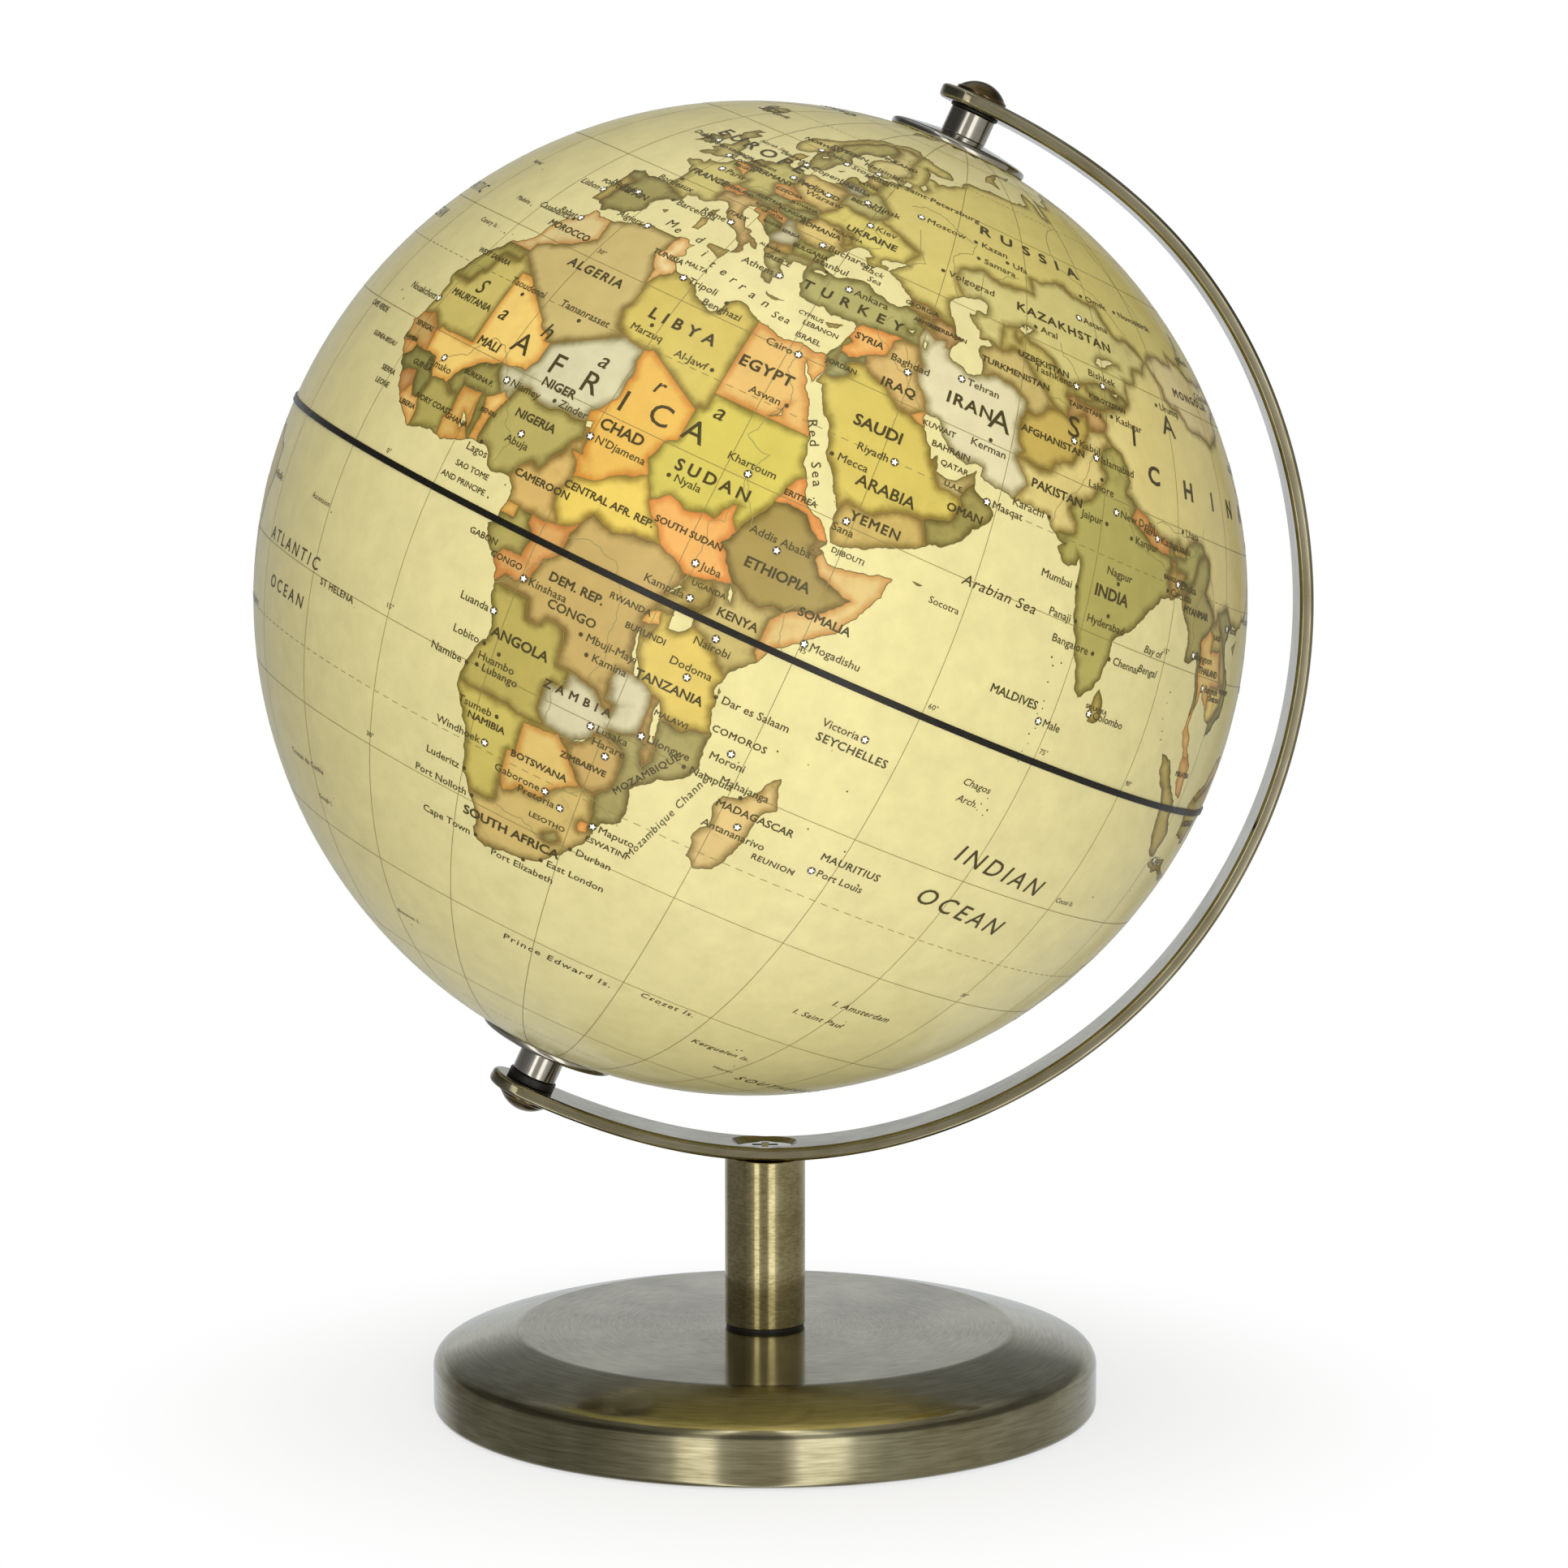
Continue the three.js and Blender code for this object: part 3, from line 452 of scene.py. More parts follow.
# closed coasts; the mainland ring runs from Suez round Africa, Arabia, Asia and Europe back to Suez
coasts = {
    "mainland": """
32.3 31.2,31 31.5,30 31.2,28.8 30.9,27.2 31.3,25.2 31.6,24 32,23.1 32.4,22 32.9,21 32.8,20.1 32.2,20 31,
19.2 30.3,17.8 30.8,16 31.3,15.3 32.3,13.2 32.9,11.5 33.2,10.9 33.8,10.1 34,10.2 34.4,11.1 35.3,10.6 35.9,
10.6 36.4,11.05 37.05,10.3 36.8,9.8 37.3,8 36.9,6 36.9,4.7 36.9,3 36.8,1.2 36.4,-.6 35.8,-1.6 35.3,-3 35.3,
-4.5 35.2,-5.3 35.7,-5.9 35.8,-6.3 34.8,-7.4 33.7,-8.6 33.1,-9.3 32,-9.8 31,-9.7 30.1,-10.4 29,-11.5 28.3,
-12.9 27.8,-13.5 26.6,-14.6 25.8,-15.6 24.3,-16 23.6,-17 21.8,-17.05 20.9,-16.3 20.2,-16.3 19.2,-16.1 18,
-16.5 16.2,-16.9 15.2,-17.5 14.75,-16.9 14.2,-16.8 13.3,-16.7 12.4,-15.9 11.8,-15 11,-14.5 10.1,-13.7 9.7,
-13.2 8.7,-12.4 7.6,-11.4 6.9,-10.6 6.2,-9.3 5.4,-7.6 4.35,-6 4.8,-4.1 5.25,-2.6 5,-2 4.75,-.8 5.2,1.2 6,
2.6 6.35,4 6.4,4.6 6.1,5.1 5.4,5.5 4.6,6.1 4.3,7 4.35,8.3 4.6,8.8 4.5,9.3 4,9.6 3.7,9.8 3,9.8 2,9.5 1,
9.6 .2,9.3 -.4,8.75 -.7,9.3 -1.9,10 -2.8,11.1 -3.9,11.9 -4.8,12.3 -6,13.2 -8.6,13.4 -9.4,13.8 -10.7,
13.7 -11.9,12.7 -13.2,12.4 -14.4,12.1 -15.2,11.8 -16.5,11.8 -18,12.6 -19.3,13.4 -21,14.4 -22.6,14.5 -24,
14.9 -26,15.1 -27,16.2 -28.4,17 -29.7,17.9 -31.3,18.2 -32.6,17.9 -33.1,18.4 -34.1,19.4 -34.5,20 -34.8,
21.8 -34.4,23.4 -34.1,25 -34,25.7 -33.9,27.3 -33.4,28.5 -32.5,30 -31.2,31.2 -29.6,32.2 -28.6,32.7 -27.3,
32.9 -26.1,33.3 -25.2,34.6 -24.7,35.4 -24,35.5 -22.5,35.3 -21.5,34.8 -20.1,35.3 -19.4,36.2 -18.8,
37.2 -17.6,39 -16.8,40.3 -15.7,40.8 -14.6,40.6 -13,40.4 -11.5,40.5 -10.6,39.8 -9.2,39.4 -8.3,39.5 -7.2,
38.8 -6.3,38.9 -5.5,39.3 -4.6,40.2 -3,40.9 -2.3,42 -.9,43.5 .8,45 2,46.2 3.2,48 4.5,49.2 6.5,50 8.2,
50.8 9.6,51.2 11.8,49.2 11.4,48 11.15,46.5 10.8,45 10.5,44.2 10.5,43.3 11.4,42.7 11.6,43.2 12.4,42.5 13.4,
41.4 14.5,40 15,39.3 15.8,38.4 17.8,37.4 19,37.2 20.5,36.9 22,35.6 23.9,35.2 24.9,34.2 26.5,33.6 27.8,
32.8 28.8,32.5 29.9,32.7 29.5,33.3 28.5,34.25 27.75,34.4 28.3,34.7 29,34.93 29.53,35 29.2,34.8 28.6,
34.65 28.05,35.5 28.05,36.5 26,37.2 24.9,38.4 23.8,39 22.3,39.15 21.2,40.2 20.1,41.2 18.7,42.3 17,
42.8 16.1,42.9 14.8,43.2 13.3,43.5 12.7,45 12.8,46.5 13.4,48 14,49.2 14.6,51 15.2,52.2 15.7,53.6 16.8,
55 17,56.3 17.95,57.2 18.9,57.8 20.2,58.5 20.5,59.3 21.4,59.8 22.5,58.8 23.6,57.5 23.9,56.6 24.5,56.4 25.4,
56.35 26.35,56 25.9,55.2 25.2,54.2 24.3,52.5 24.2,51.6 24.4,51.5 25.2,51.2 26.1,50.8 25.5,50.5 25.4,
50.1 26.6,49.2 27.5,48.6 28.3,48.1 29.3,48.3 30,49.6 30.2,50.3 29.8,51 28.4,52 27.6,53.5 26.8,54.9 26.5,
56.2 27.1,57 27,57 26,57.6 25.7,59.2 25.4,61.5 25.1,64 25.3,66.5 25.2,66.9 24.8,67.5 24,68.6 23.3,70 22.9,
69 22.3,70.2 20.9,71 20.75,72.2 21.2,72.4 22.1,72.8 21.2,72.8 19.5,73 18,73.4 16.2,73.8 15.4,74.5 14,
74.9 12.6,75.7 11.4,76.3 9.8,76.6 8.8,77.5 8.1,78.1 8.7,79 9.3,79.3 10.3,79.8 10.8,79.8 12,80.3 13.2,80 15,
81 15.9,82.3 16.6,83.5 17.8,85 19.4,86.8 20.8,87.1 21.5,88.1 21.7,89.5 21.8,90.5 22.4,91.5 22.8,92.1 21.2,
93.6 19.8,94.4 18.2,94.3 16,95.3 15.8,96.4 16.4,97.3 16.6,97.7 15.2,98.2 13.8,98.7 12,98.6 10.2,98.3 8.5,
99.1 7.5,100.2 6.5,100.4 5.2,101.3 3,102.8 1.7,103.8 1.35,104.2 1.5,103.4 3.5,103.4 5,102 6.2,100.9 6.9,
100.2 8.5,99.2 9.3,99.3 10.8,100 13.2,100.6 13.5,101 12.7,102.3 12.1,103 11,103.6 10.5,104.9 10.2,105 8.7,
106.7 9.6,107.2 10.5,109 11.4,109.3 12.9,108.9 15.2,107.6 16.5,106 18.3,105.8 19.4,106.8 20.7,108.2 21.6,
109.6 21.5,110.2 20.4,110.6 21.2,113 22,114.3 22.4,116.5 23,118 24.4,119.5 25.8,121 28,121.9 29.4,
121.9 30.7,121.5 32,120.3 34,119.3 35,120.7 36.3,122.5 37,121 37.7,119 37.3,117.8 38.5,118 39.2,119.5 39.8,
121.5 40.8,121.3 39.1,123 39.7,124.5 39.9,125.3 39.5,125.1 38,126.6 37.5,126.3 36.5,126.4 34.5,127.8 34.7,
129.2 35.2,129.5 36.8,128.4 38.5,127.5 39.5,129.7 41,130.7 42.3,132 43.2,133.2 42.8,135.5 44,138 46.5,
140.3 48.5,140.5 50.5,141.3 52.8,139 54.2,137 54,135.3 54.8,138 57,143 59.3,148 59.4,152 59.2,155 59.4,
156.7 61.5,160 61.8,163.5 62.5,162.8 60.5,160 59,156 57,155.7 54,156.7 51.1,158.5 53,160 54.8,162 56,
163 58,166 60,170.5 60,174 61.8,179 62.5,182 64.5,190 66,183 68,178 69.5,170 70,160 69.7,152 71,140 72.5,
130 71,128 72.5,120 73,113 73.8,107 76.5,104 77.7,98 76,87 75,81 73.5,80 72,74.5 72.8,74 71,73.7 68,
72 68.5,72.2 71,69 73,67 71,67 69.5,64 69.3,60 68.5,54 68.5,50 68,46 68,44 67,44 66,40.5 64.6,38 64,
35 64.4,34.5 66,33 66.7,38 66.2,41 66.8,40 68,33 69.4,30 69.8,26 71,21 70,15 68.5,12 66,10 63.8,5.3 61.8,
5 60,5.6 58.8,7 58,8.5 58.2,10.5 59.3,11 58.9,11.5 57.8,12.8 55.9,13 55.4,14.3 55.5,16.3 56.5,16.8 58.5,
18.8 59.5,17.3 61,17.8 62.7,21.5 64.5,22.3 65.8,25.2 65,23 63.8,21.3 62.8,21.5 61,22.8 59.9,25 60.2,
28.5 60.6,30 59.9,28 59.6,24.5 59.4,23.5 58.8,24.4 58.2,24.2 57.2,22 57.6,21 56.8,21 55.4,20 54.6,
18.8 54.4,16.5 54.5,14.2 53.9,12.3 54.3,10.8 54.2,10 54.6,9.7 55.6,10.5 57,10.6 57.7,8.3 57,8.1 55.8,
8.7 54.5,8.6 53.8,7 53.6,5 53.2,4.3 52.2,3.5 51.4,1.7 50.9,1.5 50.1,.2 49.5,-1.2 49.4,-1.7 49.7,-1.6 48.7,
-3.2 48.8,-4.7 48.4,-4.3 47.8,-2.5 47.4,-1.2 46,-1.2 44.5,-1.6 43.4,-4 43.4,-7.5 43.7,-9.2 43.1,-8.8 42,
-8.8 40.3,-9.4 38.8,-8.8 38.3,-8.9 37,-7.5 37.1,-6.4 36.8,-5.6 36,-4.4 36.7,-2.2 36.8,-.8 37.7,.2 38.8,
-.3 39.6,.8 40.8,3.2 41.9,3.1 43,4.5 43.4,6.2 43.1,7.5 43.8,8.8 44.4,10.2 43.9,10.6 42.9,12.2 41.8,
13.8 41.2,15 40.2,15.8 39.8,16.1 38.7,15.7 38,16.6 38.4,17.1 39.1,16.6 39.7,17 40.5,18.5 39.9,18.1 40.6,
16 41.5,16.1 41.9,14.7 42.1,13.7 43.3,12.4 44.2,12.4 45.3,13.6 45.7,13.7 44.9,15 44.6,15.1 44.1,16.5 43.5,
18.5 42.4,19.4 41.6,19.4 40.4,20.2 39.4,21 38.6,22 38.2,21.3 37.6,21.7 36.8,22.5 36.5,23.2 36.5,23 37.5,
23.9 37.8,24 38.2,22.9 39.2,22.7 40.3,23.3 40.2,24 40,24 40.6,26 40.8,26.2 40.3,26.3 39.5,26.9 38.6,
26.6 38.2,27.3 37.4,27.6 36.7,29 36.5,30.5 36.5,31 36.8,32.5 36.1,34 36.3,35.5 36.6,36.1 36.2,35.9 35,
35.5 33.8,34.9 32.5,34.3 31.4,33 31.1""",
    "americas": """
-168 65.6,-162 66.5,-166 68.3,-156.5 71.2,-141 69.7,-128 70,-115 68.3,-108 68,-95 68.3,-94 71.5,-88 68.5,
-82 69.5,-82 67,-88 64,-94 60.5,-93 57.5,-85 55.5,-82 53,-80 51.3,-78.5 52.5,-77 56,-78 58.8,-77.5 62.3,
-70 61,-67 58.5,-64 60,-60 55.5,-55.8 52.8,-60 50.2,-66.5 50.2,-65 48.5,-64 46.5,-61 45.8,-66 43.5,
-67.5 44.7,-70.5 43.3,-70 41.7,-74 40.5,-75.5 38,-76 35.3,-79 33.5,-81.3 31,-80.2 26,-81.5 25.5,-82.8 28.5,
-84 30,-89 30.2,-91.5 29.3,-95 29,-97.3 27,-97.7 22.5,-96 19.2,-92 18.5,-90.5 21,-87 21.5,-88.3 18,
-88.7 16,-83.3 15,-83.7 11,-81 8.9,-77.3 8.6,-75.5 10.6,-71.8 12.3,-68 11.3,-62 10.5,-60 8.4,-54 5.8,
-51.5 4.3,-50 .5,-44 -2.7,-39 -3.5,-35.3 -5.2,-34.9 -8,-37.5 -11.5,-39 -14.5,-39.2 -18,-41 -22,-44.5 -23.2,
-48.5 -26,-49 -28.8,-52.5 -33,-54.5 -34.8,-58.2 -33.8,-57 -36.5,-61.8 -39,-65 -41,-65.3 -45,-67.5 -46.3,
-66 -48.2,-69 -51,-68.5 -53,-65.3 -54.7,-70 -55.2,-74.5 -51,-74 -45,-73.5 -40,-73 -36.5,-71.4 -30,
-70.3 -22,-70.3 -18.4,-76.2 -14,-79 -8.5,-81.2 -5,-80 -2.5,-80.2 .5,-77.4 3.5,-77.7 7.2,-80.3 7.5,-83 8.3,
-85.7 10,-87.5 13,-93 15.3,-96 15.8,-101.8 17.6,-105.6 20.5,-105.8 22.8,-109.4 26,-112.5 29.5,-114.7 31.5,
-112.5 28,-109.6 23.2,-112.2 25.5,-114.8 28.5,-117.2 32.6,-120.6 34.6,-122.5 37.6,-124.3 40.5,-124 46.3,
-122.5 48.7,-127.5 51,-130.5 54.5,-134 58,-139.7 59.7,-146 60.8,-151.5 59.5,-158 56,-163 54.8,-158 58.5,
-162 59,-165.3 61.5,-161 64.5""",
    "greenland": """
-44 60,-49 62,-53 66,-51 69.5,-56 73,-60 76,-68 76.2,-73 78.2,-65 80.8,-50 82.4,-32 83.5,-20 82.3,-16 80,
-20 76,-21.5 72,-26 70.3,-32 68.2,-37 65.8,-41 64,-42.5 61""",
    "baffin": """
-65 61.8,-72 64,-78 65,-74 68,-80 70,-89 71,-86 73.7,-77 72.8,-68 70,-62 67,-66 65,-64 63.5""",
    "ellesmere": "-90 76.5,-78 76.3,-75 78.5,-64 82.3,-75 83.1,-90 82,-94 80",
    "victoria": "-117 69.5,-105 68.8,-102 70.5,-106 73.2,-114 73.4,-118 71.5",
    "newfoundland": "-59 47.7,-53 46.8,-53 48.7,-55.8 51.4,-58 49.3",
    "cuba": "-85 22,-81 23.2,-74.3 20.2,-77.7 19.9,-79 21.5",
    "hispaniola": "-74.4 18.4,-72.8 19.9,-68.6 18.6,-71 17.8",
    "madagascar": """
49.3 -12,50.5 -15.5,49.6 -16,48.9 -19,47.2 -24.7,45.2 -25.5,43.8 -24.4,43.4 -22.2,44.5 -20,44 -17.5,
44.5 -16.3,46.4 -15.8,48 -14""",
    "ceylon": "79.8 8.5,80.2 9.7,81.3 8.5,81.8 7,80.9 6.1,80 6.1,79.8 7.2",
    "britain": """
-5.5 50.1,-3.5 50.3,-1 50.7,1.4 51.2,.7 51.6,1.7 52.6,.3 52.9,-.1 54,-1.6 55.5,-3 56,-2 57.5,-4 57.7,
-3.2 58.6,-5.1 58.5,-6 56.7,-4.8 55.5,-3 54.9,-3.2 53.4,-4.6 53.2,-4.2 52.3,-5.2 51.8,-3 51.4,-4.3 51.1""",
    "ireland": "-10 51.7,-6.4 52.2,-6 53.5,-5.6 54.6,-7.4 55.3,-8.5 54.3,-10 54,-9.2 53.2",
    "iceland": """
-22.5 64,-18.7 63.4,-14.7 64.4,-14 65.2,-16 66.4,-20.3 65.8,-22.5 66.4,-24.3 65.6,-22 64.9""",
    "corsica": "8.6 42.4,9.4 43,9.5 42,9.2 41.4,8.7 41.8",
    "sardinia": "8.3 40.9,9.3 41.2,9.7 40.2,9.5 39.1,8.5 39",
    "sicily": "12.5 38,15.6 38.3,15.1 36.7,12.5 37.6", "crete": "23.5 35.5,26.2 35.3,25 34.9,23.6 35.2",
    "cyprus": "32.3 35,34.5 35.6,34 35,33 34.6", "mallorca": "2.4 39.6,3.2 39.9,3.1 39.3",
    "zealand": "10.9 55.6,12.5 56,12.3 55,11 55.2", "gotland": "18.1 57.3,19.2 57.9,18.7 57.2",
    "socotra": "53.3 12.5,54.5 12.5,53.9 12.3", "zanzibar": "39.2 -5.8,39.5 -6.1,39.4 -6.5",
    "sumatra": """
95.3 5.6,97.5 5.2,100.3 2.5,103.5 .3,104 -1.2,106 -3,105.8 -5.8,104.5 -5.8,102.3 -4,100.4 -1,98.6 1.7,
96 3.8""",
    "java": "105.2 -6.8,106.2 -6,108.6 -6.7,110.9 -6.4,114.4 -7.7,114.4 -8.6,108.5 -7.8",
    "borneo": """
109 1,111 2.7,113 3.3,116.8 6.9,119.2 5.2,117.7 3,118.8 1,116.5 -2,116 -4,113 -3.2,110.2 -2.9,109.2 -.5""",
    "sulawesi": """
119.5 -5.5,120.5 -3,122.5 -5,121.5 -2,123.3 -.9,121 -.8,120.2 .7,125 1.5,123.5 .3,120 .2,119 -3""",
    "newGuinea": """
131 -.8,134 -1,137.8 -1.5,141 -2.6,145.8 -5,150.8 -10.3,147 -9.5,143 -9.2,138.5 -8.2,137.8 -5.3,133 -4""",
    "luzon": "120.3 16,120.6 18.5,122.2 18.4,121.6 16,124 13,121 13.8",
    "mindanao": "122 7,125.4 9.8,126.5 7.5,125.5 5.8", "timor": "123.6 -10.3,127.2 -8.4,125 -8.9",
    "flores": "119 -8.5,123 -8.3,121 -8.9", "bali": "114.6 -8.2,117 -8.4,115.2 -8.9",
    "taiwan": "120.2 23,121.6 25.2,120.9 22", "hainan": "108.7 19.2,110.9 20,109.8 18.3",
    "kyushu": "129.8 33,131.5 33.6,131 31.2",
    "honshu": """
131 34.2,133 35.5,136 35.8,137.3 37.3,139.5 38.5,140 40.8,141.3 41.3,142 39.5,140.8 36,138.5 34.7,
135.8 33.5,132.5 34.2""",
    "hokkaido": "140 41.6,141.8 45.3,145.3 43.5,143 42",
    "sakhalin": "142 46.2,142 54,143.3 52,143 49,143.5 46.5",
    "australia": """
113.7 -26,114 -22,117 -20.6,121 -19.5,123.5 -16.5,127 -14,129.5 -15,131 -12.2,136.5 -12.2,135.8 -15,
140.5 -17.6,142.5 -11,144 -14.3,146 -18.9,149.5 -22.2,153 -25.5,153.4 -29,151 -34,149.9 -37.5,146.4 -39,
143.5 -38.8,140 -37.5,137.8 -33,135.8 -34.8,131 -31.6,124 -33,120 -34,118 -35,115 -34.2,115.7 -31.5""",
    "tasmania": "144.8 -40.8,148.3 -41,147 -43.6",
    "southIsland": "172.7 -40.6,174.2 -41.8,170.8 -45.8,168.3 -46.6,166.5 -46,171 -42.8",
    "northIsland": "172.8 -34.5,175.5 -36.5,178.4 -37.8,176.5 -41,174.7 -41.3,173.8 -39.3,174.8 -37.5",
    "novayaZemlya": "52 71,57.5 70.7,56 73,60 75.5,68.5 76.8,61 76,55 74,52.5 72.5",
    "svalbard": "11 79.3,15 76.8,21 78.5,27 80,18 80.2", "severnaya": "92 80,97 79,103 79,97 81",
    "newSiberia": "138 74,150 75,143 76,138 75.5", "fiji": "177.3 -17.8,178.7 -17.7,178 -18.3",
}

lakes = {
    "blackSea": """
29.1 41.2,31.3 41.3,33.3 42,35.1 42.05,36.4 41.3,38.3 40.95,40.5 41.05,41.6 41.6,41.4 42.7,39.5 43.7,
37.5 44.7,36.75 45.15,37.6 45.9,38.4 46.6,39.2 47.1,37.5 46.9,35.2 46.3,34.9 45.9,35.3 45.4,36.4 45.45,
36.45 45.1,35.4 45,34.4 44.6,33.5 44.6,32.6 45.4,33.6 46,31.5 46.6,30.8 46.4,29.7 45.2,28.7 44.2,28 43.2,
27.6 42.5,28.1 41.6""",
    "marmara": "27 40.5,28 41,29.2 40.9,28.9 40.5,27.6 40.4",
    "caspian": """
47.6 45.6,49 46.4,51 46.9,53 46.6,53 45.3,51.3 45.2,51.2 44.5,50.3 44.4,51.5 43.2,52.5 42.7,52.6 41.7,
53.9 42,54.7 41.5,53 40.8,52.8 40.1,53.6 39.2,53.8 37.2,52 36.6,50.3 37.3,49 37.7,48.9 38.8,49.3 39.4,
50.3 40.4,49.3 40.6,48.6 41.9,47.6 42.9,47.2 43.8,46.9 44.6""",
    "aral": "58.3 45.5,60 46.4,61.5 46.2,60 45,59 43.8,58.4 44.2",
    "balkhash": "73.6 45.6,74 46.4,76.4 46.8,78.8 46.7,76.4 46.1,74.6 45.3",
    "baikal": "103.8 51.5,108 53,109.8 55.7,109 55.6,106.5 53",
    "ladoga": "30.8 60,31 61.4,32.8 61.2,32.6 60.2", "onega": "34.3 61.5,35 62.5,36 61.8,35.5 61",
    "vanern": "12.5 58.7,13.6 59.3,14 58.8,13 58.4",
    "victoria": "31.7 -.4,32.8 .3,34.1 .2,34 -1.2,33 -2.3,31.8 -2.4",
    "turkana": "35.9 4.4,36.4 3.8,36.6 2.6,36.1 3",
    "tanganyika": "29.3 -3.4,29.6 -5,30.2 -6.6,31.2 -8.6,30.6 -8.4,29.4 -6.4,29.1 -4.6",
    "albert": "30.3 1.1,31 2.2,31.4 2.1,30.7 1.1",
    "malawi": "34 -9.6,34.5 -10.4,34.9 -12,35.2 -14.2,34.6 -14.1,34.2 -12.4,33.9 -10.8",
    "kariba": "27 -17.9,28.8 -16.5,28 -17.5", "chad": "13.7 13.4,14.5 13.6,14.6 12.9,13.9 12.8",
    "volta": "-.3 6.5,.1 7.8,-.9 8.6,-.6 7.6", "nasser": "32.7 23.8,32.9 22.9,31.5 22.2,32.6 23",
    "urmia": "45.1 38.2,45.6 38.1,45.6 37.2,45.2 37.4", "van": "42.5 38.6,43.4 39,43.2 38.4",
    "issykKul": "76.3 42.5,77.8 42.7,77.5 42.2", "superior": "-92 46.8,-88.5 48.7,-84.8 46.6,-88 46.9",
    "michigan": "-87.7 42,-86.3 42.2,-85.3 45.6,-87.2 45",
    "huron": "-84 45.9,-81.2 45.6,-80.3 44.6,-82.4 43.2,-83.4 44.6", "erie": "-83 41.6,-79 42.8,-81 42.5",
    "ontario": "-79.5 43.3,-76.4 44,-76.4 43.5", "winnipeg": "-98.5 53.5,-96.3 50.6,-97.3 50.6,-99 52.5",
    "greatSlave": "-116 61.5,-110 62.8,-113 62.2", "greatBear": "-123 66.5,-119 66.3,-120.5 65.3",
}

